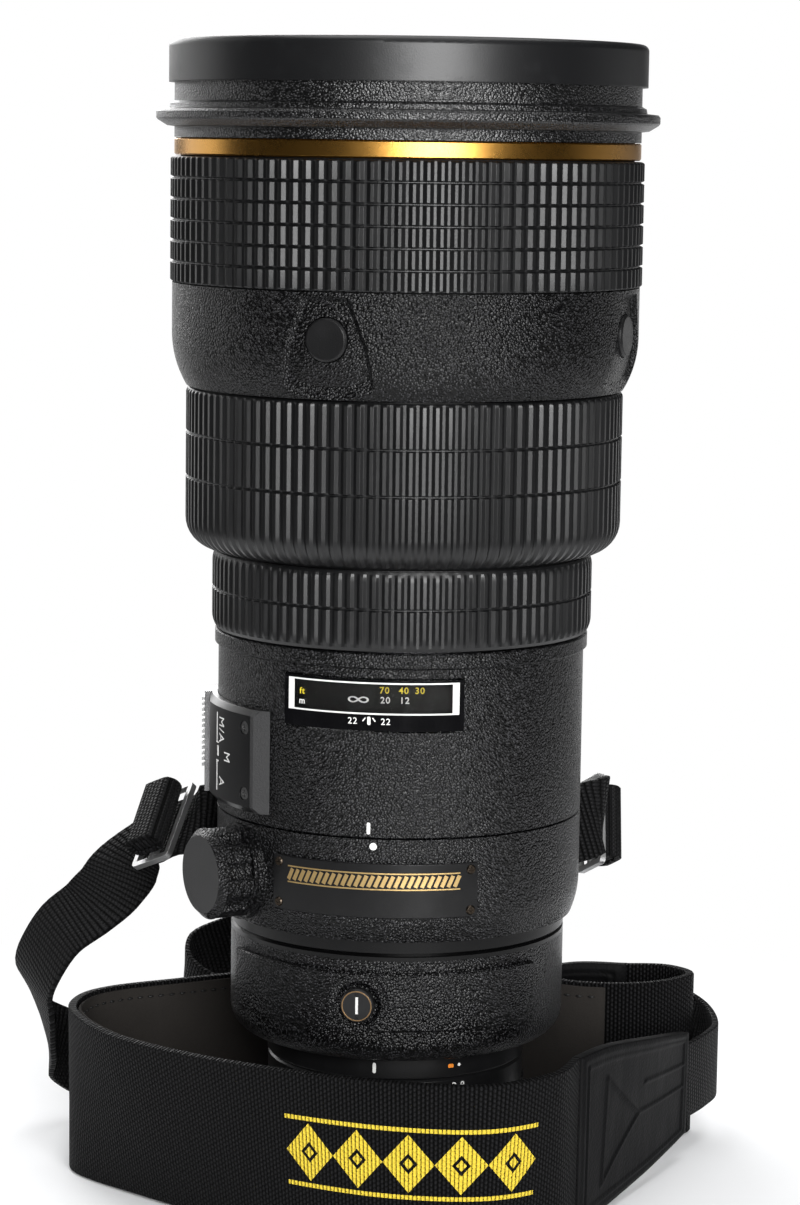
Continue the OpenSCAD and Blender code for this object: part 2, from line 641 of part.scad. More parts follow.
module panel_screws() {
  color([0.08, 0.08, 0.08]) at(panel_a) panel_screw_places() difference() {
    cylinder(r = 1.5, h = 0.6);
    for (q = [0, 90]) rotate([0, 0, q]) translate([-1, -0.2, 0.3]) cube([2, 0.4, 1]);
  }
}

// ribbed slider that stands in a slot of the panel
module slider(len, top) {
  wide = slot_w - 0.4;
  translate([-wide / 2, -main_r - 1.6, 0]) cube([wide, 1.3, len]);
  intersection() {
    translate([-wide, -top, 0]) cube([2 * wide, top - main_r - 1.4, len]);
    union() {
      translate([-wide / 2, -top + 0.9, 0]) cube([wide, 5, len]);
      for (z = [0.2:1.4:len - 0.8]) translate([-wide / 2, -top, z]) cube([wide, 2, 0.8]);
    }
  }
}

module mode_switch() {
  color([0.07, 0.07, 0.07]) at(panel_a) translate([0, 0, slot_z + slot_h - 0.3 - mode_len])
    slider(mode_len, slot_top + 0.9);
}

module limit_switch() {
  color([0.07, 0.07, 0.07]) at(panel_a) at(limit_a) translate([0, 0, slot_z + 2.8 + slider_travel])
    slider(limit_len, panel_r + 2.4);
}

module iris_unit() {
  leaf_r = waist_bore - 6.5;
  color([0.08, 0.08, 0.08]) translate([0, 0, z_col0 + 8]) {
    tube(waist_bore - fit, leaf_r, 0, 10);
    tube(leaf_r + 0.5, rear_tube_bore, 4, 5);
  }
}

module rear_barrel() {
  round = 6;
  bore = rear_tube_r + fit;
  color([0.1, 0.1, 0.1]) difference() {
    rotate_extrude() difference() {
      union() {
        translate([bore, z_rear0 + round]) square([rear_r - bore, rear_h - round]);
        translate([bore, z_rear0]) square([rear_r - round - bore, round + wall]);
        translate([rear_r - round, z_rear0 + round]) circle(round);
      }
      translate([rear_tube_bore, z_rear0 + 5]) square([rear_r - 2.5 - rear_tube_bore, rear_h - 9.8]);
      translate([rear_tube_bore, z_rear0 - 1]) square([bore - rear_tube_bore, 10]);
      translate([rear_tube_bore, z_rear0 + 20]) square([waist_r + fit - rear_tube_bore, 40]);
      translate([rear_r, z_rear1 - 3.4]) circle(0.5, $fn = 4);
    }
    translate([-frame_r - 0.35, -rear_r - 20, filter_z - frame_t / 2 - 0.35])
      cube([2 * frame_r + 0.7, rear_r + 20, frame_t + 0.7]);
  }
}

module filter_knob_place(r) {
  at(filter_knob_a) translate([0, -r, filter_knob_z]) rotate([90, 0, 0]) children();
}

module filter_holder() {
  color([0.1, 0.1, 0.1]) difference() {
    union() {
      translate([0, 0, cover_z]) rotate([0, 0, -90 - cover_a]) rotate_extrude(angle = 2 * cover_a)
        polygon([[rear_r + 0.2, 0], [rear_r + cover_t - 0.2, 0], [rear_r + cover_t + 0.2, 0.5],
                 [rear_r + cover_t + 0.2, cover_h - 0.5], [rear_r + cover_t - 0.2, cover_h],
                 [rear_r + 0.2, cover_h]]);
      intersection() {
        translate([0, 0, filter_z - frame_t / 2]) linear_extrude(frame_t) union() {
          circle(frame_r);
          translate([-frame_r, -rear_r - 20]) square([2 * frame_r, rear_r + 20]);
        }
        cylinder(r = rear_r + 0.5, h = filter_z + frame_t);
      }
      filter_knob_place(rear_r + 0.6) cylinder(r = filter_knob_r + 3.2, h = 1.2);
    }
    translate([0, 0, filter_z - frame_t]) cylinder(r = frame_r - 4, h = 2 * frame_t);
    translate([0, 0, filter_z - 2.6]) cylinder(r = frame_r - 2.4, h = 5.2);
    // dished seat of the lock knob
    filter_knob_place(rear_r + 1.1) cylinder(r1 = filter_knob_r + 0.4, r2 = filter_knob_r + 2.6, h = 1.4);
    filter_knob_place(rear_r - 6) cylinder(r = 1.6, h = 12);
  }
}

module filter_glass() {
  color([0.8, 0.85, 0.85, 0.3]) translate([0, 0, filter_z]) {
    translate([0, 0, -1]) cylinder(r = frame_r - 2.6, h = 2);
  }
}

module filter_knob() {
  color([0.14, 0.12, 0.1]) filter_knob_place(rear_r + 1.4) difference() {
    union() {
      cylinder(r = filter_knob_r, h = 1.8);
      translate([0, 0, 1.8]) cylinder(r1 = filter_knob_r, r2 = filter_knob_r - 0.4, h = 0.4);
      translate([0, 0, -6]) cylinder(r = 1.4, h = 7);
    }
    translate([-0.4, -filter_knob_r + 1, 1.8]) cube([0.8, 2 * filter_knob_r - 2, 1]);
  }
}

module index_ring() {
  bore = rear_tube_r + fit;
  color([0.08, 0.08, 0.08]) rotate_extrude()
    polygon([[bore, z_ix0], [aperture_r - 0.5, z_ix0], [aperture_r - 0.2, z_ix0 + 0.4],
             [aperture_r - 0.2, z_rear0 - fit], [bore, z_rear0 - fit]]);
}

// aperture ring: a ribbed lower part under a smooth band for its numbers
module aperture_ring() {
  knurl = aperture_h * 0.5;
  band_r = aperture_r - 0.4;
  color([0.07, 0.07, 0.07]) translate([0, 0, z_ap0]) difference() {
    union() {
      linear_extrude(knurl) polygon(ribs(48, aperture_r, aperture_r - 0.9, 0.5, 0.66));
      translate([0, 0, knurl - 0.4]) cylinder(r = band_r, h = aperture_h - knurl - 0.2);
      translate([0, 0, aperture_h - 0.6]) cylinder(r1 = band_r, r2 = band_r - 0.6, h = 0.6);
    }
    translate([0, 0, -1]) cylinder(r = rear_tube_r + seam, h = aperture_h + 2);
  }
}

module rear_tube() {
  seat = rear_tube_bore + wall;
  color([0.2, 0.2, 0.2]) rotate_extrude()
    polygon([[rear_tube_bore, z_mount + flange_t], [rear_tube_r, z_mount + flange_t],
             [rear_tube_r, z_rear0 + 4.9], [seat, z_rear0 + 4.9], [seat, z_ap1], [rear_tube_bore, z_ap1]]);
}

module rear_glass() {
  color([0.6, 0.75, 0.8, 0.4]) 
    glass(rear_tube_bore + wall - fit, rear_glass_form, z_ap1 + 0.2);
}

// metal bayonet: flange, spigot and three claws
module bayonet_mount() {
  deep = 5.4;
  color([0.78, 0.78, 0.78]) difference() {
    union() {
      translate([0, 0, z_mount]) cylinder(r = mount_r, h = flange_t);
      translate([0, 0, z_mount - deep]) cylinder(r = spigot_r, h = deep + 0.6);
      for (a = [0, 120, 240]) translate([0, 0, z_mount - deep]) rotate([0, 0, a - 27])
        rotate_extrude(angle = 54) translate([throat_r + 0.4, 0]) square([claw_r - throat_r - 0.4, 1.7]);
    }
    translate([0, 0, z_mount - deep - 2]) cylinder(r = throat_r, h = deep + flange_t + 4);
    for (a = [36:72:360]) rotate([0, 0, a]) translate([mount_screw_r, 0, z_mount - 1])
      cylinder(r = 1.5, h = 2);
  }
}

module mount_screws() {
  color([0.7, 0.7, 0.7]) for (a = [36:72:360]) rotate([0, 0, a])
    translate([mount_screw_r, 0, z_mount + 0.2]) difference() {
      cylinder(r = 1.4, h = 0.75);
      for (q = [0, 90]) rotate([0, 0, q]) translate([-0.9, -0.18, -1]) cube([1.8, 0.36, 1.3]);
    }
}

// moulded cap with a ribbed skirt and three lugs that sit behind the claws of the mount
module rear_cap() {
  hollow = claw_r + 0.8;
  color([0.06, 0.06, 0.06]) difference() {
    union() {
      cylinder(r1 = cap_r - 0.8, r2 = cap_r, h = 1);
      translate([0, 0, 1]) cylinder(r = cap_r, h = cap_h - 1);
      translate([0, 0, 3]) linear_extrude(cap_h - 6) polygon(ribs(60, cap_r + 0.7, cap_r - 0.4, 0.45, 0.61));
    }
    translate([0, 0, 2.2]) cylinder(r = hollow, h = cap_h);
  }
  color([0.06, 0.06, 0.06]) for (a = [0, 120, 240]) translate([0, 0, z_mount - 3.3]) rotate([0, 0, a - 20])
    rotate_extrude(angle = 40) translate([spigot_r + 0.4, 0]) square([hollow + 0.2 - spigot_r - 0.4, 2]);
}

module pad_screw_places() {
  for (x = [-1, 1], z = [-1, 1]) translate([pad_screw_x * x, pad_y, pad_z + pad_screw_z * z])
    rotate([-90, 0, 0]) children();
}

module collar_ring() {
  round = collar_h * 0.35;
  inside = collar_bore - 1.5;
  color([0.1, 0.1, 0.1]) difference() {
    union() {
      rotate_extrude() translate([0, z_col0]) intersection() {
        translate([collar_bore - 2, 0]) square([main_r - collar_bore + 2, collar_h]);
        union() {
          translate([0, round]) square([main_r + 1, collar_h]);
          translate([main_r - 2.6 * round, round]) circle(2.6 * round);
        }
      }
      at(knob_a) translate([0, -inside, knob_z]) rotate([90, 0, 0]) {
        cylinder(r = boss_r, h = boss_top - inside - 0.8);
        cylinder(r = boss_r - 0.8, h = boss_top - inside);
      }
      translate([-pad_w / 2, inside, pad_z - pad_h / 2]) cube([pad_w, pad_y - inside, pad_h]);
      for (s = [-1, 1]) at(s * lug_a) translate([-3.5, -lug_r, lug_z - 5]) cube([7, lug_r - inside, 10]);
    }
    translate([0, 0, z_col0 - 1]) cylinder(r = collar_bore, h = collar_h + 2);
    at(knob_a) translate([0, -inside, knob_z]) rotate([90, 0, 0]) cylinder(r = stud_r + 0.3, h = 20);
    pad_screw_places() translate([0, 0, -5.4]) cylinder(r = 2, h = 8);
  }
}

module tripod_foot() {
  base = foot_reach;
  low = pad_z - pad_h / 2;
  high = pad_z + pad_h / 2;
  color([0.1, 0.1, 0.1]) difference() {
    union() {
      translate([-pad_w / 2, pad_y, low]) cube([pad_w, 4, pad_h]);
      translate([-7, 0, 0]) rotate([90, 0, 90]) linear_extrude(14)
        polygon([[pad_y, low], [pad_y, high], [pad_y + 6, high + 3], [base - 12, high + 20],
                 [base - 4, high + 20], [base - 4, low - 4], [base - 14, low - 4]]);
      translate([0, base, pad_z + 9]) rotate([90, 0, 0]) linear_extrude(11) union() {
        square([foot_w - 10, foot_len], center = true);
        square([foot_w, foot_len - 10], center = true);
        for (x = [-1, 1], z = [-1, 1]) translate([x * (foot_w / 2 - 5), z * (foot_len / 2 - 5)]) circle(5);
      }
    }
    translate([0, base + 1, pad_z + 24]) rotate([90, 0, 0]) cylinder(r = 2.55, h = 10);
    translate([0, base + 1, pad_z]) rotate([90, 0, 0]) cylinder(r = 4, h = 10);
    pad_screw_places() translate([0, 0, -1]) cylinder(r = 2.2, h = 8);
  }
}

module foot_screws() {
  color([0.3, 0.3, 0.3]) pad_screw_places() difference() {
    union() {
      translate([0, 0, 4.05]) cylinder(r = 3.2, h = 3);
      translate([0, 0, -4.8]) cylinder(r = 1.9, h = 9);
    }
    translate([0, 0, 5.4]) cylinder(r = 1.6, h = 3, $fn = 6);
  }
}

// scalloped clamp knob on its threaded stud
module lock_knob() {
  edge = 1.7;
  color([0.09, 0.09, 0.09]) at(knob_a) translate([0, -boss_top - seam, knob_z]) rotate([90, 0, 0]) {
    difference() {
      union() {
        cylinder(r = knob_r, h = knob_len - edge);
        translate([0, 0, knob_len - edge]) cylinder(r1 = knob_r, r2 = knob_r - edge, h = edge);
      }
      for (k = [0:7]) rotate([0, 0, 45 * k + 12]) translate([knob_r + 2.2, 0, -1])
        cylinder(r = 3.4, h = knob_len - 0.8);
    }
    translate([0, 0, -boss_top + collar_bore + 0.8]) cylinder(r = stud_r, h = boss_top - collar_bore);
  }
}

module name_plate() {
  thick = 0.6;
  color([0.05, 0.05, 0.05]) translate([0, 0, plate_z]) rotate([0, 0, -90 - plate_a])
    rotate_extrude(angle = 2 * plate_a)
      polygon([[main_r + fit, 0], [main_r + thick - 0.15, 0], [main_r + thick, 0.2],
               [main_r + thick, plate_h - 0.2], [main_r + thick - 0.15, plate_h], [main_r + fit, plate_h]]);
}

module plate_screws() {
  color([0.6, 0.5, 0.35]) for (s = [-1, 1], z = [1.7, plate_h - 1.7])
    at(s * (plate_a - 2.2)) translate([0, -main_r - 0.65, plate_z + z]) rotate([90, 0, 0]) difference() {
      cylinder(r1 = 1.2, r2 = 0.9, h = 0.4);
      for (q = [0, 90]) rotate([0, 0, q]) translate([-0.7, -0.14, 0.2]) cube([1.4, 0.28, 1]);
    }
}

// strap eyelet: a foot on the collar and a bail that stands out from it
module strap_lug(s) {
  tall = web_w + 0.6;
  color([0.2, 0.2, 0.2]) at(s * lug_a) translate([0, -lug_r - 0.05, lug_z]) rotate([90, 0, 0]) {
    translate([-3.5, -5, 0]) cube([7, 10, 1.2]);
    difference() {
      translate([-1.1, -tall / 2 - 1.3, 0.2]) cube([2.2, tall + 2.6, 8]);
      translate([-2, -tall / 2, 1.5]) cube([4, tall, 5.3]);
    }
  }
}

module strap_band() {
  color([0.07, 0.07, 0.07]) strap(band_route, band_w, band_t);
}

// lining on the inner face of the band
module strap_lining() {
  color([0.2, 0.15, 0.11]) strap(band_route, band_w - 1.6, 0.8, 2, 32, band_t / 2 + 0.8);
}

module patch_front() {
  color([0.09, 0.08, 0.08]) strap(patch_front_route, band_w, band_t + 0.8);
}

module patch_back() {
  color([0.09, 0.08, 0.08]) strap(patch_back_route, band_w, band_t + 0.8);
}

module webbing_right() {
  color([0.06, 0.06, 0.06]) strap(webbing_right_route, web_w, web_t);
}

module webbing_left() {
  color([0.06, 0.06, 0.06]) strap(webbing_left_route, web_w, web_t);
}

// three-bar slide of metal wire with round corners, on the side of the webbing that side names
module slide(side) {
  bar = 1.5;
  long = web_w + 5;
  wide = 13.4;
  slot = (wide - 3 * bar) / 2;
  mirror([0, 0, side < 0 ? 1 : 0]) translate([0, 0, web_t / 2 + slide_gap]) linear_extrude(slide_t)
    difference() {
      union() {
        square([long - 2 * bar, wide], center = true);
        square([long, wide - 2 * bar], center = true);
        for (x = [-1, 1], y = [-1, 1]) translate([x * (long / 2 - bar), y * (wide / 2 - bar)]) circle(bar);
      }
      for (y = [-wide / 2 + bar, bar / 2]) translate([bar - long / 2, y]) square([long - 2 * bar, slot]);
    }
}

// free end of the webbing, rolled back over the slide
module roll(side) {
  half = 2 * web_t;
  straight = 2.4;
  mirror([0, 0, side < 0 ? 1 : 0]) translate([-web_w / 2, 0, web_t / 2 + slide_gap + slide_t + 0.2 + half])
    rotate([90, 0, 90]) linear_extrude(web_w) union() {
      for (y = [-straight, straight]) translate([y, 0]) circle(half);
      square([2 * straight, 2 * half], center = true);
    }
}

module slider_left() {
  color([0.75, 0.75, 0.75]) on_strap(webbing_left_route, left_slide_ring) slide(-1);
}

module slider_right() {
  color([0.75, 0.75, 0.75]) on_strap(webbing_right_route, right_slide_ring) slide(1);
}

module tail_left() {
  color([0.06, 0.06, 0.06]) on_strap(webbing_left_route, left_slide_ring) roll(-1);
}

module tail_right() {
  color([0.06, 0.06, 0.06]) on_strap(webbing_right_route, right_slide_ring) roll(1);
}

front_bumper();
hood_collar();
gold_ring();
front_grip();
front_barrel();
front_cell();
front_glass();
front_element();
button_barrel();
hold_button(button_angles[0]);  // hold_button_1
hold_button(button_angles[1]);  // hold_button_2
hold_button(button_angles[2]);  // hold_button_3
hold_button(button_angles[3]);  // hold_button_4
focus_ring();
focus_grip();
narrow_grip();
core_tube();
fixed_cell();
fixed_glass();
focus_cell();
focus_glass();
ring_motor();
main_barrel();
scale_window();
scale_drum();
switch_panel();
panel_screws();
mode_switch();
limit_switch();
iris_unit();
rear_barrel();
filter_holder();
filter_glass();
filter_knob();
index_ring();
aperture_ring();
rear_tube();
rear_glass();
bayonet_mount();
mount_screws();
rear_cap();
collar_ring();
tripod_foot();
foot_screws();
lock_knob();
name_plate();
plate_screws();
strap_lug(-1);  // lug_left
strap_lug(1);  // lug_right
strap_band();
strap_lining();
patch_front();
patch_back();
webbing_left();
webbing_right();
slider_left();
slider_right();
tail_left();
tail_right();
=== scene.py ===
"""Looks of a long telephoto lens that stands on its rear cap with its carrying strap around it."""

from __future__ import annotations

import json
import logging
import math
from dataclasses import dataclass, field
from enum import Enum
from typing import Callable, Iterable, Sequence, Union

import bmesh
import bpy
from mathutils import Matrix, Vector
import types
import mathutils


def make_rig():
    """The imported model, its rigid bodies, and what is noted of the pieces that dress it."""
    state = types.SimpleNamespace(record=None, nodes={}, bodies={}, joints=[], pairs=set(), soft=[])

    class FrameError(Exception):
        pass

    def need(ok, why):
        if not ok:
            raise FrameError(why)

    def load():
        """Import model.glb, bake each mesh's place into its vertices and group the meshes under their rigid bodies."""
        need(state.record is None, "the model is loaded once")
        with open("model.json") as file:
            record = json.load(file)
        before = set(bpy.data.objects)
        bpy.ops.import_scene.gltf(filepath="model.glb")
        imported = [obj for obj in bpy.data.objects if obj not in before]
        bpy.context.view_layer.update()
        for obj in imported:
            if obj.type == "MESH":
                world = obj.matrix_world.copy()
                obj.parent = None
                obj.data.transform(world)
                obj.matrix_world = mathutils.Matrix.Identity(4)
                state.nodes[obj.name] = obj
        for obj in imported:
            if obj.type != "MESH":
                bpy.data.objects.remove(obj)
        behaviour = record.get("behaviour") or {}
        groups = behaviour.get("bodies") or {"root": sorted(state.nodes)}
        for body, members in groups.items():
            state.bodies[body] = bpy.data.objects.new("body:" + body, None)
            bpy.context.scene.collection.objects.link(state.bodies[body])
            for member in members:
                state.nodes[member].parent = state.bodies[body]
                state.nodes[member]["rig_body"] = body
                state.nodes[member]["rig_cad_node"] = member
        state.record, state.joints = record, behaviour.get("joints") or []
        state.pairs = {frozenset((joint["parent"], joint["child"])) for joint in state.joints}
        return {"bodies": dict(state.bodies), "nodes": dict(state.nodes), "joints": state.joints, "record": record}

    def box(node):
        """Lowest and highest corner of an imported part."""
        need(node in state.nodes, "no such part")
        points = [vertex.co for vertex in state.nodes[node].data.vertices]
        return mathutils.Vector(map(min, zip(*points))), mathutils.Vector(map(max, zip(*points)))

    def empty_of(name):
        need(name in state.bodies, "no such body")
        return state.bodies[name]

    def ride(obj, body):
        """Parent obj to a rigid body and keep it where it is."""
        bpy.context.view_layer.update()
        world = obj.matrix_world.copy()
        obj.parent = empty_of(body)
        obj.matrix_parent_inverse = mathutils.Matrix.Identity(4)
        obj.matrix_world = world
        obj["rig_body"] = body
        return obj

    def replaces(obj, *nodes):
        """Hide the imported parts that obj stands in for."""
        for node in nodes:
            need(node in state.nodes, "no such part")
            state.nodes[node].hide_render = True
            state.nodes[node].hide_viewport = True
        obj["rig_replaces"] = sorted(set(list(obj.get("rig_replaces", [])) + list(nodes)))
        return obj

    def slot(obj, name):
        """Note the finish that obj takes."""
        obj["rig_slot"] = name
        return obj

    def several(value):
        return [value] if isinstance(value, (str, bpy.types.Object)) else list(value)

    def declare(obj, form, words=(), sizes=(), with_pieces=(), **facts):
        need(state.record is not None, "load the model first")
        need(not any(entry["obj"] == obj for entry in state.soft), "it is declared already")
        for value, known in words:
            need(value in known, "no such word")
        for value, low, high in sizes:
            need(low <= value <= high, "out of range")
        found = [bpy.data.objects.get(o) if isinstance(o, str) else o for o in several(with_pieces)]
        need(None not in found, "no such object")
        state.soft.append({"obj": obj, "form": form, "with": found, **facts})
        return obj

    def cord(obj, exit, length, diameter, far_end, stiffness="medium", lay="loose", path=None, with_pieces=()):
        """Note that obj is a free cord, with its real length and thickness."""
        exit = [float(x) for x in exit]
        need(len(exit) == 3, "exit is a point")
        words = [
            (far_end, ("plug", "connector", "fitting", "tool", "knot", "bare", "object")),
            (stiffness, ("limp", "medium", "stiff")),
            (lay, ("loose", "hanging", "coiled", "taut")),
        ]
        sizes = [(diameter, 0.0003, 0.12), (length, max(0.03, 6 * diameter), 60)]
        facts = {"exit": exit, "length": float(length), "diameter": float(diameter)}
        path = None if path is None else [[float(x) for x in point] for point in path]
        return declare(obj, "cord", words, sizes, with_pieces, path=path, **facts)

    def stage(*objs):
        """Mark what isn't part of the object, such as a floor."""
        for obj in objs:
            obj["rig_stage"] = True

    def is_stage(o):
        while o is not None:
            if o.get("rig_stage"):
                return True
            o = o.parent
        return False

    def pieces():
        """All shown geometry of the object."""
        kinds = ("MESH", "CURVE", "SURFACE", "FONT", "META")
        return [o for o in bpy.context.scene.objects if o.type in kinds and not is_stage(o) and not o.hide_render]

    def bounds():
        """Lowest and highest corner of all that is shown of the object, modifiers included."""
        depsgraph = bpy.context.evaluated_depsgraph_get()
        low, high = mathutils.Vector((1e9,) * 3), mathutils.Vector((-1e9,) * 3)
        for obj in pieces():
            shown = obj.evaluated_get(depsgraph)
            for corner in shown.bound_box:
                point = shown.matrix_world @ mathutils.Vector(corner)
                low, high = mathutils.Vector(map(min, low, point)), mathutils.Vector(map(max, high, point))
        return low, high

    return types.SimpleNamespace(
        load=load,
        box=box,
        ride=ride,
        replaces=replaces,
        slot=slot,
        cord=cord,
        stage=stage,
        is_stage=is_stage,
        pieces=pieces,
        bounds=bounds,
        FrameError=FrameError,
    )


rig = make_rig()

LOG = logging.getLogger("lens")
MM = 0.001
SAME = 1e-6
Colour = tuple[float, float, float]
Row = tuple[float, float, float, float, float, float, float]


class Body(str, Enum):
    """The moving bodies that new pieces ride on."""

    BARREL = "barrel"
    FOCUS = "focus"
    SCALE = "scale"
    COLLAR = "collar"
    KNOB = "knob"
    FILTER_LOCK = "filter_lock"
    APERTURE = "aperture"


class Value:
    """One output socket, with operators that add Math nodes to its tree."""

    def __init__(self, graph: "Graph", socket: bpy.types.NodeSocket) -> None:
        """Keeps the socket and the graph that it belongs to."""
        self.graph = graph
        self.socket = socket

    def math(self, operation: str, *others: "Number") -> "Value":
        """Feeds this value and the others to one Math node."""
        return self.graph.math(operation, self, *others)

    def __add__(self, other: "Number") -> "Value":
        """Adds."""
        return self.math("ADD", other)

    __radd__ = __add__

    def __sub__(self, other: "Number") -> "Value":
        """Subtracts."""
        return self.math("SUBTRACT", other)

    def __rsub__(self, other: "Number") -> "Value":
        """Subtracts this value from a number."""
        return self.graph.math("SUBTRACT", other, self)

    def __mul__(self, other: "Number") -> "Value":
        """Multiplies."""
        return self.math("MULTIPLY", other)

    __rmul__ = __mul__

    def __truediv__(self, other: "Number") -> "Value":
        """Divides."""
        return self.math("DIVIDE", other)

    def __pow__(self, other: "Number") -> "Value":
        """Raises to a power."""
        return self.math("POWER", other)

    def __abs__(self) -> "Value":
        """Drops the sign."""
        return self.math("ABSOLUTE")

    def above(self, edge: "Number") -> "Value":
        """Is 1 where this value is over the edge."""
        return self.math("GREATER_THAN", edge)

    def below(self, edge: "Number") -> "Value":
        """Is 1 where this value is under the edge."""
        return self.math("LESS_THAN", edge)

    def within(self, low: float, high: float) -> "Value":
        """Is 1 between the two edges."""
        return self.above(low) * self.below(high)

    def ease(self, low: float, high: float) -> "Value":
        """Goes smoothly from 0 at low to 1 at high."""
        inputs = {"Value": self, "From Min": low, "From Max": high}
        return self.graph.node("ShaderNodeMapRange", {"interpolation_type": "SMOOTHSTEP"}, inputs)

    def around(self, middle: float, span: float) -> "Value":
        """Spreads this value, from 0 to 1, over a span about a middle."""
        return self * span + (middle - span / 2)

    def wave(self) -> "Value":
        """Gives an arch from 0 to 1 for each whole step of this value."""
        return abs(self.graph.math("SINE", self * math.pi))

    def stagger(self) -> "Value":
        """Is a half on every second whole step of this value, and 0 on the others."""
        return (self * 0.5).math("FRACT").above(0.5) * 0.5


Number = Union[Value, float]


class Graph:
    """The node tree of one material or world."""

    def __init__(self, owner: bpy.types.Material | bpy.types.World,
                 output: str = "ShaderNodeOutputMaterial") -> None:
        """Starts with nothing but an output.

        Args:
            owner: what the tree belongs to; its nodes are cleared.
            output: the type of the output node.
        """
        self.owner = owner
        owner.use_nodes = True
        self.tree = owner.node_tree
        self.tree.nodes.clear()
        self.output = self.tree.nodes.new(output)

    def node(self, kind: str, settings: dict | None = None, inputs: dict | None = None,
             output: int | str = 0) -> Value:
        """Adds one node.

        Args:
            kind: the node's type.
            settings: attributes of the node, set before its sockets.
            inputs: values or links of its sockets, by name or number.
            output: which output to hand back.

        Returns:
            The chosen output.
        """
        made = self.tree.nodes.new(kind)
        for key, setting in (settings or {}).items():
            setattr(made, key, setting)
        for key, given in (inputs or {}).items():
            if isinstance(given, Value):
                self.tree.links.new(given.socket, made.inputs[key])
            elif isinstance(given, tuple) and len(given) == 3 and made.inputs[key].type == "RGBA":
                made.inputs[key].default_value = (*given, 1)
            else:
                made.inputs[key].default_value = given
        return Value(self, made.outputs[output])

    def math(self, operation: str, *values: Number) -> Value:
        """Adds a Math node with these inputs."""
        return self.node("ShaderNodeMath", {"operation": operation}, dict(enumerate(values)))

    def place(self) -> Value:
        """Gives the point in the object's own metres."""
        return self.node("ShaderNodeTexCoord", output="Object")

    def axes(self, point: Value) -> tuple[Value, Value, Value]:
        """Splits a point into its three numbers."""
        split = self.node("ShaderNodeSeparateXYZ", inputs={0: point}).socket.node
        return tuple(Value(self, socket) for socket in split.outputs)

    def cloth(self) -> tuple[Value, Value]:
        """Gives the distance across and along a strap, in millimetres, from its UV map."""
        across, along, _ = self.axes(self.node("ShaderNodeUVMap", {"uv_map": "UVMap"}))
        return across / MM, along / MM

    def stretch(self, point: Value, scale: tuple[float, float, float]) -> Value:
        """Scales a point, so that a texture on it is drawn out."""
        return self.node("ShaderNodeMapping", inputs={"Vector": point, "Scale": scale})

    def noise(self, point: Value, size: float, detail: float = 2, rough: float = 0.5) -> Value:
        """Gives soft noise with blotches of about that size in millimetres."""
        inputs = {"Vector": point, "Scale": 1 / (size * MM), "Detail": detail, "Roughness": rough}
        return self.node("ShaderNodeTexNoise", inputs=inputs)

    def cells(self, point: Value, size: float, smooth: float = 0.4) -> Value:
        """Gives the distance to the middle of cells of that size in millimetres."""
        inputs = {"Vector": point, "Scale": 1 / (size * MM), "Smoothness": smooth}
        return self.node("ShaderNodeTexVoronoi", {"feature": "SMOOTH_F1"}, inputs)

    def mix(self, share: Number, first: Value | Colour, second: Value | Colour) -> Value:
        """Blends two colours; a share of 1 is the second."""
        inputs = {0: share, 6: first, 7: second}
        return self.node("ShaderNodeMix", {"data_type": "RGBA"}, inputs, output=2)

    def bump(self, height: Value, depth: float, normal: Value | None = None) -> Value:
        """Turns a height into a normal.

        Args:
            height: the height, from 0 to 1.
            depth: how high 1 is, in millimetres.
            normal: the normal that it is laid on, if not the surface's own.

        Returns:
            The new normal.
        """
        inputs = {"Height": height, "Distance": depth * MM, "Strength": 1.0}
        if normal:
            inputs["Normal"] = normal
        return self.node("ShaderNodeBump", inputs=inputs)

    def rays(self) -> tuple[Value, Value]:
        """Tells kinds of rays apart.

        Returns:
            1 for rays from the camera, and 1 for rays that a mirror or glass has sent on.
        """
        kinds = self.node("ShaderNodeLightPath").socket.node.outputs
        camera, glossy, through = (Value(self, kinds[f"Is {kind} Ray"])
                                   for kind in ("Camera", "Glossy", "Transmission"))
        return camera, glossy.math("MAXIMUM", through)

    def rounded(self, radius: float) -> Value:
        """Gives normals that round off edges by that radius in millimetres."""
        return self.node("ShaderNodeBevel", {"samples": 4}, {"Radius": radius * MM})

    def surface(self, **sockets: object) -> bpy.types.Material:
        """Adds the surface shader.

        Args:
            sockets: its inputs, with an underscore for each blank.

        Returns:
            The finished material.
        """
        inputs = {key.replace("_", " "): given for key, given in sockets.items()}
        shader = self.node("ShaderNodeBsdfPrincipled", inputs=inputs)
        return self.finish(shader)

    def finish(self, shader: Value) -> bpy.types.Material | bpy.types.World:
        """Joins the shader to the output and hands back what the tree belongs to."""
        self.tree.links.new(shader.socket, self.output.inputs["Surface"])
        return self.owner


def shade(colour: Colour, share: float) -> Colour:
    """Makes a colour darker or paler by that share."""
    return tuple(part * share for part in colour)


@dataclass(frozen=True)
class Finish:
    """A surface finish, which makes one material on first use. Lengths are in millimetres."""

    name: str
    colour: Colour
    rough: float = 0.5

    def material(self) -> bpy.types.Material:
        """Gives the material of this finish."""
        known = bpy.data.materials.get(self.name)
        return known or self.build(Graph(bpy.data.materials.new(self.name)))

    def build(self, graph: Graph) -> bpy.types.Material:
        """Makes the material; each kind of finish has its own way."""
        raise NotImplementedError


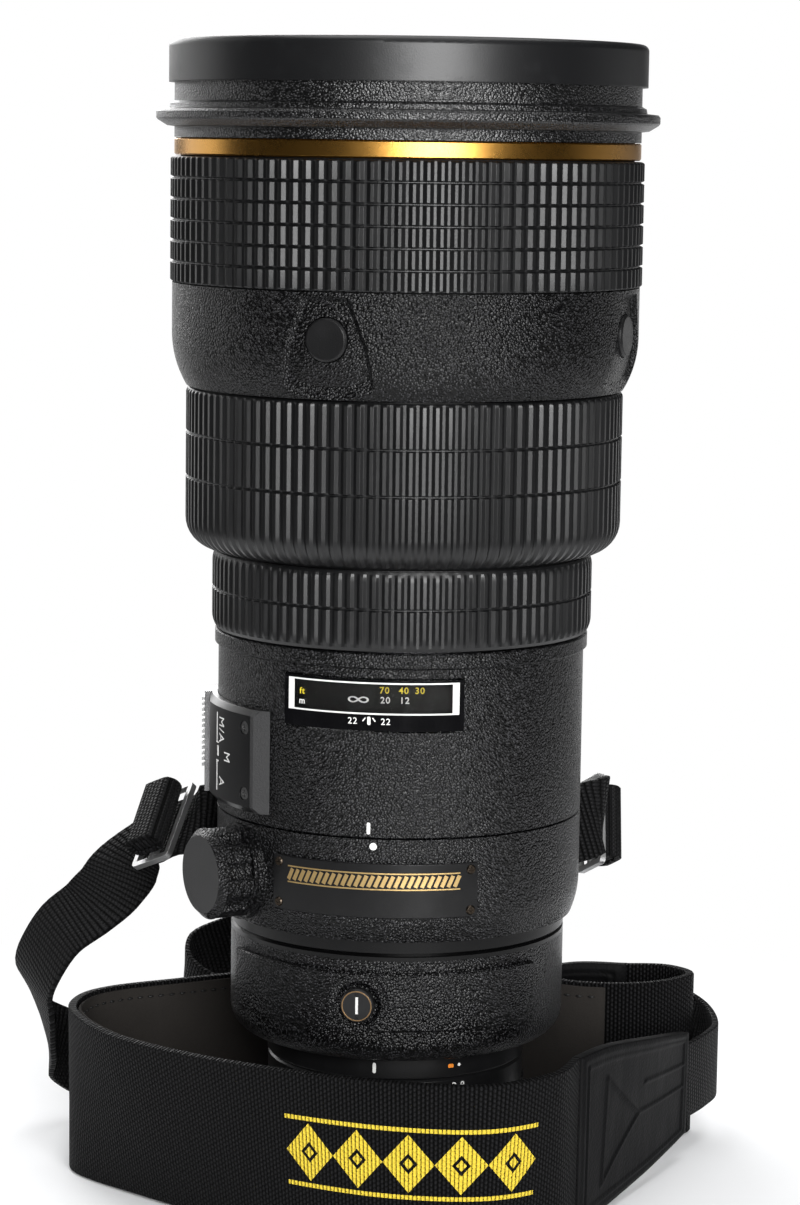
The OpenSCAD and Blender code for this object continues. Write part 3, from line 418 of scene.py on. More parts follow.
@dataclass(frozen=True)
class Crinkle(Finish):
    """Stove enamel that has shrunk into fine hard grains, and is smooth over a level if one is given."""

    grain: float = 0.58
    depth: float = 0.29
    shine: float = 0.28
    smooth_from: float = 1000
    # Shares of the colour: painted shade in the hollows between grains, and a painted glint on the grain tops.
    hollow_painted_shade: float = 0.4
    top: float = 14
    painted_glint_edges: tuple[float, float] = (0.5, 0.75)
    patch: float = 24

    def build(self, graph: Graph) -> bpy.types.Material:
        """Makes grains of uneven height, with a painted glint on their tops and painted shade between.

        Args:
            graph: the new material's tree.

        Returns:
            The finished material.
        """
        place = graph.place()
        _, _, up = graph.axes(place)
        grains = (1 - graph.cells(place, self.grain, smooth=0.12)) * up.below(self.smooth_from * MM)
        uneven = graph.noise(place, self.grain * 0.7, detail=2, rough=0.6)
        height = grains * (uneven + 0.4)
        worn = graph.noise(place, self.patch, detail=3)
        # Painted glints: the grain tops are painted paler, more so in some patches; the hollows get painted shade.
        painted_glints = height.ease(*self.painted_glint_edges) * (worn * 0.6 + 0.4)
        return graph.surface(
            Base_Color=graph.mix(painted_glints, shade(self.colour, self.hollow_painted_shade), shade(self.colour, self.top)),
            Roughness=worn.around(self.rough, 0.12),
            Specular_IOR_Level=self.shine,
            Normal=graph.bump(height, self.depth),
        )


@dataclass(frozen=True)
class Rubber(Finish):
    """Moulded rubber with rounded rib edges, dusty in places."""

    edge: float = 0.22
    dust: float = 0.5
    dust_tone: float = 2.6
    blotch: float = 9
    speck: float = 0.6
    grain: float = 0.35
    depth: float = 0.02

    def build(self, graph: Graph) -> bpy.types.Material:
        """Makes a soft sheen, a fine grain and dust that gathers in blotches.

        Args:
            graph: the new material's tree.

        Returns:
            The finished material.
        """
        place = graph.place()
        dusty = graph.noise(place, self.blotch, detail=5, rough=0.65).ease(0.5, 0.8) * self.dust
        specks = graph.noise(place, self.speck, detail=2).ease(0.68, 0.76) * self.dust
        grain = graph.noise(place, self.grain, detail=2)
        return graph.surface(
            Base_Color=graph.mix(dusty * 0.5 + specks, self.colour, shade(self.colour, self.dust_tone)),
            Roughness=dusty * 0.15 + self.rough,
            Normal=graph.bump(grain, self.depth, graph.rounded(self.edge)),
        )


@dataclass(frozen=True)
class Satin(Finish):
    """Satin black on metal or plastic, with a fine grain and rounded edges."""

    edge: float = 0.18
    depth: float = 0.03
    grain: float = 0.3
    patch: float = 7
    worn_tone: float = 1.5
    shine: float = 0.4

    def build(self, graph: Graph) -> bpy.types.Material:
        """Makes the grain and a little wear.

        Args:
            graph: the new material's tree.

        Returns:
            The finished material.
        """
        place = graph.place()
        worn = graph.noise(place, self.patch, detail=4, rough=0.6)
        grain = graph.noise(place, self.grain, detail=2)
        return graph.surface(
            Base_Color=graph.mix(worn.ease(0.4, 0.8), self.colour, shade(self.colour, self.worn_tone)),
            Roughness=worn.around(self.rough, 0.12),
            Specular_IOR_Level=self.shine,
            Normal=graph.bump(grain, self.depth, graph.rounded(self.edge)),
        )


@dataclass(frozen=True)
class Panel(Finish):
    """The switch panel: a satin face, and a rougher side where it steps down to the barrel, painted paler as a
    highlight.
    """

    side_angle: float = -40.5
    # Colour of the side where the panel steps down, paler as a painted highlight.
    side: Colour = (0.03, 0.03, 0.031)
    grit: float = 0.35
    depth: float = 0.12
    edge: float = 0.2
    shine: float = 0.35

    def build(self, graph: Graph) -> bpy.types.Material:
        """Makes the face and the side, parted by the angle round the lens; the side's paler colour is a painted
        highlight.

        Args:
            graph: the new material's tree.

        Returns:
            The finished material.
        """
        place = graph.place()
        x, y, _ = graph.axes(place)
        painted_lit_side = graph.math("ARCTAN2", x, y * -1).above(math.radians(self.side_angle))
        grit = graph.noise(place, self.grit, detail=3, rough=0.6)
        return graph.surface(
            # Painted highlight: the side is painted paler; it is also rougher and more gritty.
            Base_Color=graph.mix(painted_lit_side * (grit * 0.7 + 0.5), self.colour, self.side),
            Roughness=painted_lit_side * 0.25 + self.rough,
            Specular_IOR_Level=self.shine,
            Normal=graph.bump(grit * (painted_lit_side * 0.9 + 0.1), self.depth, graph.rounded(self.edge)),
        )


@dataclass(frozen=True)
class Metal(Finish):
    """Bare or anodised metal, turned or drawn."""

    lines: tuple[float, float, float] = (1, 1, 1)
    line: float = 0.5
    depth: float = 0.006
    edge: float = 0.15
    patch: float = 8
    smudge_tone: float = 0.82

    def build(self, graph: Graph) -> bpy.types.Material:
        """Makes fine tool lines and smudges.

        Args:
            graph: the new material's tree.

        Returns:
            The finished material.
        """
        place = graph.place()
        smudge = graph.noise(place, self.patch, detail=4, rough=0.6)
        drawn = graph.noise(graph.stretch(place, self.lines), self.line, detail=2)
        return graph.surface(
            Base_Color=graph.mix(smudge, self.colour, shade(self.colour, self.smudge_tone)),
            Metallic=1.0,
            Roughness=smudge.around(self.rough, 0.12) + drawn.around(0, 0.06),
            Normal=graph.bump(drawn, self.depth, graph.rounded(self.edge)),
        )


@dataclass(frozen=True)
class Glass(Finish):
    """Clear optical glass with a thin coloured coating."""

    coat: Colour = (0.5, 0.7, 0.6)
    speck: float = 1.2
    index: float = 1.52

    def build(self, graph: Graph) -> bpy.types.Material:
        """Makes clear glass under a tinted coat, with a little dust.

        Args:
            graph: the new material's tree.

        Returns:
            The finished material.
        """
        dust = graph.noise(graph.place(), self.speck, detail=4, rough=0.7)
        return graph.surface(
            Base_Color=self.colour,
            Roughness=dust.ease(0.66, 0.8) * 0.1 + self.rough,
            Transmission_Weight=1.0,
            IOR=self.index,
            Specular_Tint=(*self.coat, 1),
        )


@dataclass(frozen=True)
class Ink(Finish):
    """Printed or filled paint, a little uneven."""

    speck: float = 0.35
    thin_tone: float = 0.6

    def build(self, graph: Graph) -> bpy.types.Material:
        """Makes paint that is thinner in specks.

        Args:
            graph: the new material's tree.

        Returns:
            The finished material.
        """
        thin = graph.noise(graph.place(), self.speck, detail=3, rough=0.6).ease(0.62, 0.85)
        tone = graph.mix(thin, self.colour, shade(self.colour, self.thin_tone))
        return graph.surface(Base_Color=tone, Roughness=self.rough)


@dataclass(frozen=True)
class Woven(Finish):
    """The shoulder band's rib weave, with a printed row of lozenges between two lines."""

    rib: float = 0.98
    pick: float = 1.25
    fuzz: float = 0.45
    depth: float = 0.5
    shine: float = 0.08
    painted_gap_shade: float = 0.08
    print_middle: float = 51
    print_lift: float = 1.8
    print_half: float = 31
    lozenge: float = 12.4
    lozenge_half: float = 7.4
    lozenge_gap: tuple[float, float] = (0.2, 0.36)
    lines: tuple[float, float] = (8.0, 9.1)
    ink: Colour = (0.74, 0.55, 0.05)
    fade: float = 3
    fade_tone: float = 0.8

    def build(self, graph: Graph) -> bpy.types.Material:
        """Makes ribs across the band, each a column of picks, with painted shade in the gaps between them, and the
        print on their tops.

        Args:
            graph: the new material's tree.

        Returns:
            The finished material.
        """
        across, along = graph.cloth()
        fuzz = graph.noise(graph.place(), self.fuzz, detail=3, rough=0.6)
        column = along / self.rib + fuzz * 0.14
        picks = (across / self.pick + column.stagger()).wave()
        height = (column.wave() ** 0.7) * (picks * 0.55 + 0.45)
        held = (height + fuzz * 0.9).ease(0.6, 0.85)
        faded = graph.noise(graph.place(), self.fade, detail=3).ease(0.3, 0.7)
        # Painted shade: the cloth is painted darker down in the gaps between the ribs.
        cloth = graph.mix(height.ease(0.3, 1.0), shade(self.colour, self.painted_gap_shade), self.colour)
        ink = graph.mix(faded * 0.35, self.ink, shade(self.ink, self.fade_tone))
        return graph.surface(
            Base_Color=graph.mix(self._printed(across, along) * held, cloth, ink),
            Roughness=self.rough - height * 0.35,
            Specular_IOR_Level=self.shine,
            Normal=graph.bump(height + fuzz * 0.25, self.depth),
        )

    def _printed(self, across: Value, along: Value) -> Value:
        """Draws the lozenges and the two lines.

        Args:
            across: distance from the band's middle line.
            along: distance along the band.

        Returns:
            1 where there is print, and 0 elsewhere.
        """
        step = (along - self.print_middle) / self.lozenge
        slant = abs((step + 0.5).math("FRACT") - 0.5) * 2
        lifted = abs(across - self.print_lift)
        reach = lifted / self.lozenge_half + slant
        core, ring = self.lozenge_gap
        mark = reach.within(ring, 1) + reach.below(core)
        inside = abs(along - self.print_middle).below(self.print_half)
        return (mark + lifted.within(*self.lines)).math("MINIMUM", 1.0) * inside


@dataclass(frozen=True)
class Webbing(Finish):
    """Flat nylon webbing with raised cross ribs."""

    rib: float = 1.3
    bead: float = 1.05
    fuzz: float = 0.4
    depth: float = 0.5
    shine: float = 0.1
    painted_gap_shade: float = 0.08

    def build(self, graph: Graph) -> bpy.types.Material:
        """Makes a row of beads along each rib, with painted shade in the gaps between them.

        Args:
            graph: the new material's tree.

        Returns:
            The finished material.
        """
        across, along = graph.cloth()
        fuzz = graph.noise(graph.place(), self.fuzz, detail=2)
        row = along / self.rib
        beads = (across / self.bead + row.stagger()).wave()
        height = (row.wave() ** 0.6) * (beads * 0.5 + 0.5)
        raised = (height + fuzz * 0.2).ease(0.3, 1.1)
        return graph.surface(
            # Painted shade: the webbing is painted darker between the raised ribs and beads.
            Base_Color=graph.mix(raised, shade(self.colour, self.painted_gap_shade), self.colour),
            Roughness=self.rough - height * 0.4,
            Specular_IOR_Level=self.shine,
            Normal=graph.bump(height + fuzz * 0.12, self.depth),
        )


@dataclass(frozen=True)
class Suede(Finish):
    """Brown suede with a short nap."""

    nap: float = 0.5
    patch: float = 14
    depth: float = 0.12
    shine: float = 0.1
    tones: tuple[float, float] = (0.5, 1.4)

    def build(self, graph: Graph) -> bpy.types.Material:
        """Makes nap in fine specks and rubbed patches.

        Args:
            graph: the new material's tree.

        Returns:
            The finished material.
        """
        place = graph.place()
        nap = graph.noise(place, self.nap, detail=4, rough=0.7)
        patches = graph.noise(place, self.patch, detail=3)
        dark, pale = (shade(self.colour, tone) for tone in self.tones)
        return graph.surface(
            Base_Color=graph.mix(nap * 0.6 + patches * 0.4, dark, pale),
            Roughness=self.rough,
            Specular_IOR_Level=self.shine,
            Normal=graph.bump(nap, self.depth),
        )


@dataclass(frozen=True)
class Leather(Finish):
    """Black leather with a fine grain and a dull polish."""

    grain: float = 0.8
    fine: float = 0.6
    crease: float = 5
    drawn: tuple[float, float, float] = (1, 1, 0.35)
    depth: float = 0.12
    shine: float = 0.08
    crease_painted_highlight: float = 1.7

    def build(self, graph: Graph) -> bpy.types.Material:
        """Makes the grain, creases and polish, with a painted highlight along the creases.

        Args:
            graph: the new material's tree.

        Returns:
            The finished material.
        """
        place = graph.place()
        grain = graph.cells(place, self.grain, smooth=0.3)
        fine = graph.noise(place, self.fine, detail=3, rough=0.6)
        crease = graph.noise(graph.stretch(place, self.drawn), self.crease, detail=3, rough=0.6)
        height = grain * 0.5 + fine * 0.3 + crease * 0.8
        return graph.surface(
            # Painted highlight: the creases are painted paler.
            Base_Color=graph.mix(crease.ease(0.45, 0.8), self.colour, shade(self.colour, self.crease_painted_highlight)),
            Roughness=crease.around(self.rough, 0.2),
            Specular_IOR_Level=self.shine,
            Normal=graph.bump(height, self.depth),
        )


class Finishes:
    """The finishes of this lens and strap."""

    CRINKLE = Crinkle("crinkle_enamel", (0.0035, 0.0035, 0.0038), rough=0.28)
    # The hood's enamel is the crinkle enamel with more shine and a paler colour, the paler colour being a painted
    # highlight.
    HOOD = Crinkle("hood_enamel", (0.005, 0.005, 0.0053), rough=0.3, grain=0.52, depth=0.19, shine=0.65)
    REAR = Crinkle("rear_enamel", (0.0035, 0.0035, 0.0038), rough=0.28, smooth_from=66.4)
    RUBBER = Rubber("grip_rubber", (0.0045, 0.0046, 0.005), rough=0.38, edge=0.14, dust=0.4)
    BUMPER = Rubber("bumper_rubber", (0.0065, 0.0067, 0.0074), rough=0.38, edge=0.4, dust=0.6)
    SATIN = Satin("satin_black", (0.005, 0.005, 0.0054), rough=0.38)
    BUTTON = Satin("button_black", (0.006, 0.006, 0.0064), rough=0.4, edge=0.3, depth=0.05)
    FACE = Satin("knob_face_black", (0.012, 0.012, 0.0125), rough=0.45, edge=0.1, depth=0.06)
    PANEL = Panel("panel_black", (0.004, 0.004, 0.0044), rough=0.3)
    SCREW = Metal("dark_screw", (0.2, 0.2, 0.2), rough=0.3, edge=0.2)
    MATT = Satin("matt_black", (0.004, 0.004, 0.004), rough=0.7)
    PLATE = Satin("plate_black", (0.003, 0.003, 0.0033), rough=0.3, edge=0.1, depth=0.02)
    GLOSS = Satin("gloss_black", (0.003, 0.003, 0.0035), rough=0.12, edge=0.1, depth=0.0)
    GOLD = Metal("gold_anodised", (0.62, 0.32, 0.07), rough=0.28, lines=(1, 1, 30), edge=0.1)
    STEEL = Metal("bright_steel", (0.78, 0.78, 0.79), rough=0.2)
    ALLOY = Metal("satin_alloy", (0.5, 0.5, 0.5), rough=0.34)
    WIRE = Metal("slide_wire", (0.8, 0.8, 0.8), rough=0.42)
    DARK_STEEL = Metal("blackened_steel", (0.05, 0.05, 0.05), rough=0.35)
    ALUMINIUM = Metal("dark_aluminium", (0.2, 0.2, 0.21), rough=0.4)
    BRASS = Metal("worn_brass", (0.36, 0.23, 0.12), rough=0.35)
    BRONZE = Metal("dark_bronze", (0.07, 0.055, 0.042), rough=0.32)
    GLASS = Glass("coated_glass", (0.92, 0.97, 0.95), rough=0.0)
    PANE = Glass("window_pane", (1, 1, 1), rough=0.02, coat=(1, 1, 1))
    WHITE = Ink("white_paint", (0.82, 0.82, 0.8))
    YELLOW = Ink("yellow_paint", (0.78, 0.62, 0.03))
    ORANGE = Ink("orange_paint", (0.85, 0.25, 0.02))
    GILT = Metal("gilt_print", (0.66, 0.46, 0.2), rough=0.42)
    BAND = Woven("rib_weave", (0.009, 0.009, 0.0097), rough=0.85)
    WEBBING = Webbing("nylon_webbing", (0.009, 0.009, 0.0096), rough=0.85)
    SUEDE = Suede("brown_suede", (0.022, 0.0198, 0.018), rough=0.95)
    LEATHER = Leather("black_leather", (0.0022, 0.0022, 0.0025), rough=0.6)
    THREAD = Satin("black_thread", (0.006, 0.006, 0.006), rough=0.5, edge=0.05)


NODE_FINISHES: dict[Finish, tuple[str, ...]] = {
    Finishes.HOOD: ("hood_collar",),
    Finishes.CRINKLE: ("button_barrel", "main_barrel", "collar_ring", "filter_holder", "tripod_foot",
                       "lock_knob"),
    Finishes.REAR: ("rear_barrel",),
    Finishes.BUMPER: ("front_bumper",),
    Finishes.SATIN: ("focus_ring", "index_ring", "aperture_ring", "rear_cap", "lug_left", "lug_right",
                     "filter_knob"),
    Finishes.PANEL: ("switch_panel",),
    Finishes.SCREW: ("panel_screws",),
    Finishes.BUTTON: ("hold_button_1", "hold_button_2", "hold_button_3", "hold_button_4"),
    Finishes.MATT: ("front_barrel", "front_cell", "fixed_cell", "focus_cell", "iris_unit", "scale_drum"),
    Finishes.PLATE: ("name_plate",),
    Finishes.GOLD: ("gold_ring",),
    Finishes.STEEL: ("bayonet_mount", "mount_screws"),
    Finishes.WIRE: ("slider_left", "slider_right"),
    Finishes.ALLOY: ("mode_switch", "limit_switch"),
    Finishes.DARK_STEEL: ("foot_screws",),
    Finishes.ALUMINIUM: ("core_tube", "rear_tube"),
    Finishes.BRASS: ("ring_motor",),
    Finishes.BRONZE: ("plate_screws",),
    Finishes.GLASS: ("front_glass", "front_element", "fixed_glass", "focus_glass", "rear_glass",
                     "filter_glass"),
    Finishes.PANE: ("scale_window",),
}


def stand(name: str, data: bpy.types.ID) -> bpy.types.Object:
    """Stands a new object in the scene.

    Args:
        name: its name.
        data: its mesh, curve, light or camera.

    Returns:
        The new object.
    """
    made = bpy.data.objects.new(name, data)
    bpy.context.scene.collection.objects.link(made)
    return made


def points_of(made: dict) -> list[bmesh.types.BMVert]:
    """Picks the points out of what an extrusion has made."""
    return [item for item in made["geom"] if isinstance(item, bmesh.types.BMVert)]


def dress_nodes(nodes: dict[str, bpy.types.Object]) -> None:
    """Gives every solid that stays in view its finish.

    Args:
        nodes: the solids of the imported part, by name.
    """
    for finish, names in NODE_FINISHES.items():
        for name in names:
            nodes[name].data.materials.clear()
            nodes[name].data.materials.append(finish.material())


def add_piece(name: str, mesh: bmesh.types.BMesh, finishes: Sequence[Finish], body: Body, slot: str,
              stands_for: Iterable[str] = (), smooth: bool = True) -> bpy.types.Object:
    """Turns a finished bmesh into a piece of the object.

    Args:
        name: the piece's name.
        mesh: its shape, in metres in the frame of the part; it is freed.
        finishes: its finishes, in the order of its faces' material numbers.
        body: the body that it rides on.
        slot: the record's material slot.
        stands_for: the solids that it takes the place of.
        smooth: whether its faces are shaded smooth.

    Returns:
        The new object.
    """
    data = bpy.data.meshes.new(name)
    for face in mesh.faces:
        face.smooth = smooth
    mesh.to_mesh(data)
    mesh.free()
    for finish in finishes:
        data.materials.append(finish.material())
    piece = stand(name, data)
    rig.ride(piece, body.value)
    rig.slot(piece, slot)
    if stands_for:
        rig.replaces(piece, *stands_for)
    LOG.info("%s: %d faces on %s", name, len(data.polygons), body.value)
    return piece


class Print:
    """Marks and figures that are printed round the lens, gathered into one mesh."""

    THICK = 0.05
    FONT_RATIO = 1.38
    SPACING = 1.15
    CURVE_STEPS = 3
    CORNER_STEPS = 4
    DOT_SIDES = 24
    BEND_STEP = 2
    END_SHARE = 0.49

    def __init__(self) -> None:
        """Starts with nothing printed."""
        self.mesh = bmesh.new()

    def _wrap(self, fresh: Sequence[bmesh.types.BMVert], radius: float, angle: float, height: float,
              ink: int) -> None:
        """Inks flat geometry and bends it round the lens axis.

        Args:
            fresh: its points, in millimetres, x along the girth and y up the lens.
            radius: radius of the surface that carries it.
            angle: degrees from the upper side of the lens.
            height: level up the lens.
            ink: number of its material.
        """
        for face in {face for vert in fresh for face in vert.link_faces}:
            face.material_index = ink
        for vert in fresh:
            turn = math.radians(angle) + vert.co.x / radius
            reach = (radius + vert.co.z) * MM
            vert.co = (reach * math.sin(turn), -reach * math.cos(turn), (height + vert.co.y) * MM)

    def figure(self, text: str, size: float, radius: float, angle: float, height: float,
               turn: float = 0, ink: int = 0, wide: float = 1, bold: float = 0.018) -> None:
        """Prints a short figure.

        Args:
            text: the figure.
            size: height of its letters in millimetres.
            radius: radius of the surface.
            angle: degrees from the upper side.
            height: level up the lens.
            turn: degrees that it is turned in its plane.
            ink: number of its material.
            wide: stretch of its width.
            bold: growth of its strokes, as a share of the size.
        """
        curve = bpy.data.curves.new("figure", "FONT")
        curve.body = text
        curve.size = size * self.FONT_RATIO
        curve.align_x, curve.align_y = "CENTER", "CENTER"
        curve.extrude = self.THICK / 2
        curve.offset = size * bold
        curve.space_character = self.SPACING
        curve.resolution_u = self.CURVE_STEPS
        holder = stand("figure", curve)
        graph = bpy.context.evaluated_depsgraph_get()
        flat = bpy.data.meshes.new_from_object(holder.evaluated_get(graph))
        bpy.data.objects.remove(holder)
        flat.transform(Matrix.Rotation(math.radians(turn), 4, "Z") @ Matrix.Diagonal((wide, 1, 1, 1)))
        known = len(self.mesh.verts)
        self.mesh.from_mesh(flat)
        bpy.data.meshes.remove(flat)
        self.mesh.verts.ensure_lookup_table()
        self._wrap(self.mesh.verts[known:], radius, angle, height, ink)

    def bar(self, wide: float, tall: float, radius: float, angle: float, height: float,
            ink: int = 0, round_by: float = 0.0, turn: float = 0) -> None:
        """Prints a bar, with round ends if asked.

        Args:
            wide: its girth in millimetres.
            tall: its height.
            radius: radius of the surface.
            angle: degrees from the upper side.
            height: level of its middle.
            ink: number of its material.
            round_by: radius of its corners.
            turn: degrees that it is turned in its plane.
        """
        known = set(self.mesh.verts)
        steps = max(1, round(wide / self.BEND_STEP))
        made = bmesh.ops.create_grid(self.mesh, x_segments=steps, y_segments=1, size=0.5)["verts"]
        bmesh.ops.scale(self.mesh, vec=(wide, tall, 1), verts=made)
        if round_by:
            corners = [v for v in made if abs(v.co.x) > wide * self.END_SHARE]
            bmesh.ops.bevel(self.mesh, geom=corners, offset=round_by, segments=self.CORNER_STEPS, profile=0.5,
                            affect="VERTICES", material=-1)
        fresh = [v for v in self.mesh.verts if v not in known]
        faces = list({f for v in fresh for f in v.link_faces})
        lifted = points_of(bmesh.ops.extrude_face_region(self.mesh, geom=faces))
        bmesh.ops.translate(self.mesh, vec=(0, 0, self.THICK), verts=lifted)
        fresh = [v for v in self.mesh.verts if v not in known]
        bmesh.ops.rotate(self.mesh, matrix=Matrix.Rotation(math.radians(turn), 3, "Z"), verts=fresh)
        self._wrap(fresh, radius, angle, height, ink)

    def dot(self, size: float, radius: float, angle: float, height: float) -> None:
        """Prints a round dot.

        Args:
            size: its diameter in millimetres.
            radius: radius of the surface.
            angle: degrees from the upper side.
            height: level of its middle.
        """
        made = bmesh.ops.create_cone(self.mesh, cap_ends=True, segments=self.DOT_SIDES, radius1=size / 2,
                                     radius2=size / 2, depth=self.THICK)["verts"]
        self._wrap(made, radius, angle, height, ink=0)

    def piece(self, name: str, finishes: Sequence[Finish], body: Body, slot: str) -> bpy.types.Object:
        """Ends the printing and hands back the piece."""
        return add_piece(name, self.mesh, finishes, body, slot, smooth=False)


@dataclass
class Grip:
    """A rubber grip with rows of ribs, shut at both ends and round its bore, in millimetres."""

    node: str
    body: Body
    ribs: int
    radius: float
    bore: tuple[tuple[float, float], ...]
    base: float
    tall: float
    deep: float
    grooves: tuple[float, ...]
    head: tuple[float, float]
    foot: tuple[float, float] = (0, 0)
    curl: float = 0
    crown_half: float = 0.135
    valley_half: float = 0.385
    groove_half: tuple[float, float] = (0.1, 0.44)
    groove_floor: float = 0.15
    curl_leans: range = range(70, -1, -10)
    end_steps: int = 4
    sharp: float = 0.2

    def build(self) -> None:
        """Draws the ring of ribs up level by level, then down the bore, and shuts it."""
        mesh = bmesh.new()
        corners = (-self.valley_half, -self.crown_half, self.crown_half, self.valley_half)
        ring = bmesh.ops.create_circle(mesh, segments=len(corners) * self.ribs, radius=MM)["verts"]
        edges = mesh.edges[:]
        for index, spot in enumerate(ring):
            rib, corner = divmod(index, len(corners))
            angle = (rib + corners[corner]) * math.tau / self.ribs
            spot.co = Vector((math.sin(angle), math.cos(angle), 0))
        levels = self._levels()
        self._shape(ring, *levels[0])
        for level in levels[1:]:
            ring, edges = self._grow(mesh, edges)
            self._shape(ring, *level)
        for reach, height in self.bore:
            ring, edges = self._grow(mesh, edges)
            for spot in ring:
                self._put(spot, reach, height)
        ring, edges = self._grow(mesh, edges)
        self._shape(ring, *levels[0])
        bmesh.ops.remove_doubles(mesh, verts=mesh.verts[:], dist=SAME)
        bmesh.ops.recalc_face_normals(mesh, faces=mesh.faces[:])
        for edge in mesh.edges:
            edge.smooth = edge.calc_face_angle(0) < self.sharp
        add_piece(f"{self.node}_ribs", mesh, [Finishes.RUBBER], self.body, self.node, [self.node])

    def _levels(self) -> list[tuple[float, float, float]]:
        """Lists the levels from the foot up.

        Returns:
            Each level's height, how far the ribs are cut back there and how far the wall leans in.
        """
        shares = [step / self.end_steps for step in range(self.end_steps + 1)]
        low, low_cut = self.foot
        levels = [(low * share, low_cut * (1 - share) ** 2, 0) for share in shares]
        if self.curl:
            levels = [(self.curl, 0, math.radians(lean)) for lean in self.curl_leans]
        near, far = self.groove_half
        floor = self.deep + self.groove_floor
        for height in self.grooves:
            levels += [(height - far, 0, 0), (height - near, floor, 0),
                       (height + near, floor, 0), (height + far, 0, 0)]
        high, high_cut = self.head
        return levels + [(self.tall - high * (1 - share), high_cut * share ** 2, 0) for share in shares]

    def _grow(self, mesh: bmesh.types.BMesh, edges: list[bmesh.types.BMEdge],
              ) -> tuple[list[bmesh.types.BMVert], list[bmesh.types.BMEdge]]:
        """Extrudes a ring of edges, and gives the new ring's corners and edges.

        Args:
            mesh: the mesh in the making.
            edges: the ring that it grows from.

        Returns:
            The corners and the edges of the new ring.
        """
        grown = bmesh.ops.extrude_edge_only(mesh, edges=edges)
        ring = points_of(grown)
        known = set(ring)
        fresh = [item for item in grown["geom"] if isinstance(item, bmesh.types.BMEdge)]
        return ring, [edge for edge in fresh if known.issuperset(edge.verts)]

    def _shape(self, ring: Iterable[bmesh.types.BMVert], height: float, cut: float, lean: float) -> None:
        """Gives a ring the outline of the ribs.

        Args:
            ring: its corners, at their angles round the axis.
            height: its height over the foot.
            cut: how far the crowns of the ribs are cut back.
            lean: how far the wall leans in, in radians.
        """
        for spot in ring:
            turns = math.atan2(spot.co.x, spot.co.y) * self.ribs / math.tau
            share = abs((turns + 0.5) % 1 - 0.5)
            up = (self.valley_half - share) / (self.valley_half - self.crown_half)
            sunk = max(self.deep * (1 - min(1, max(0, up))), cut)
            out = self.curl - sunk
            self._put(spot, self.radius - self.curl + out * math.cos(lean), height - out * math.sin(lean))

    def _put(self, spot: bmesh.types.BMVert, reach: float, height: float) -> None:
        """Moves a corner to a distance from the axis and a height over the foot."""
        angle = math.atan2(spot.co.x, spot.co.y)
        spot.co = Vector((reach * math.sin(angle), reach * math.cos(angle), self.base + height)) * MM


GRIPS = (
    Grip("front_grip", Body.BARREL, ribs=112, radius=58.5, bore=((56.1, 30.6), (56.1, 0)), base=228.8,
         tall=30.6, deep=0.62, grooves=(5.1, 10.2, 15.3, 20.4, 25.5), head=(0.6, 0.8), foot=(0.6, 0.8),
         crown_half=0.11, valley_half=0.4),
    Grip("focus_grip", Body.FOCUS, ribs=110, radius=54.4, bore=((52.8, 40), (52.8, 6.1), (48.6, 0.7)),
         base=162.8, tall=40, deep=0.58, grooves=(18, 29), head=(1.2, 0.8), curl=7.6),
    Grip("narrow_grip", Body.FOCUS, ribs=98, radius=47.6, bore=((46, 19.2), (46, 0)), base=143, tall=19.2,
         deep=0.53, grooves=(10,), head=(2.6, 0.75), foot=(3.2, 0.95)),
)


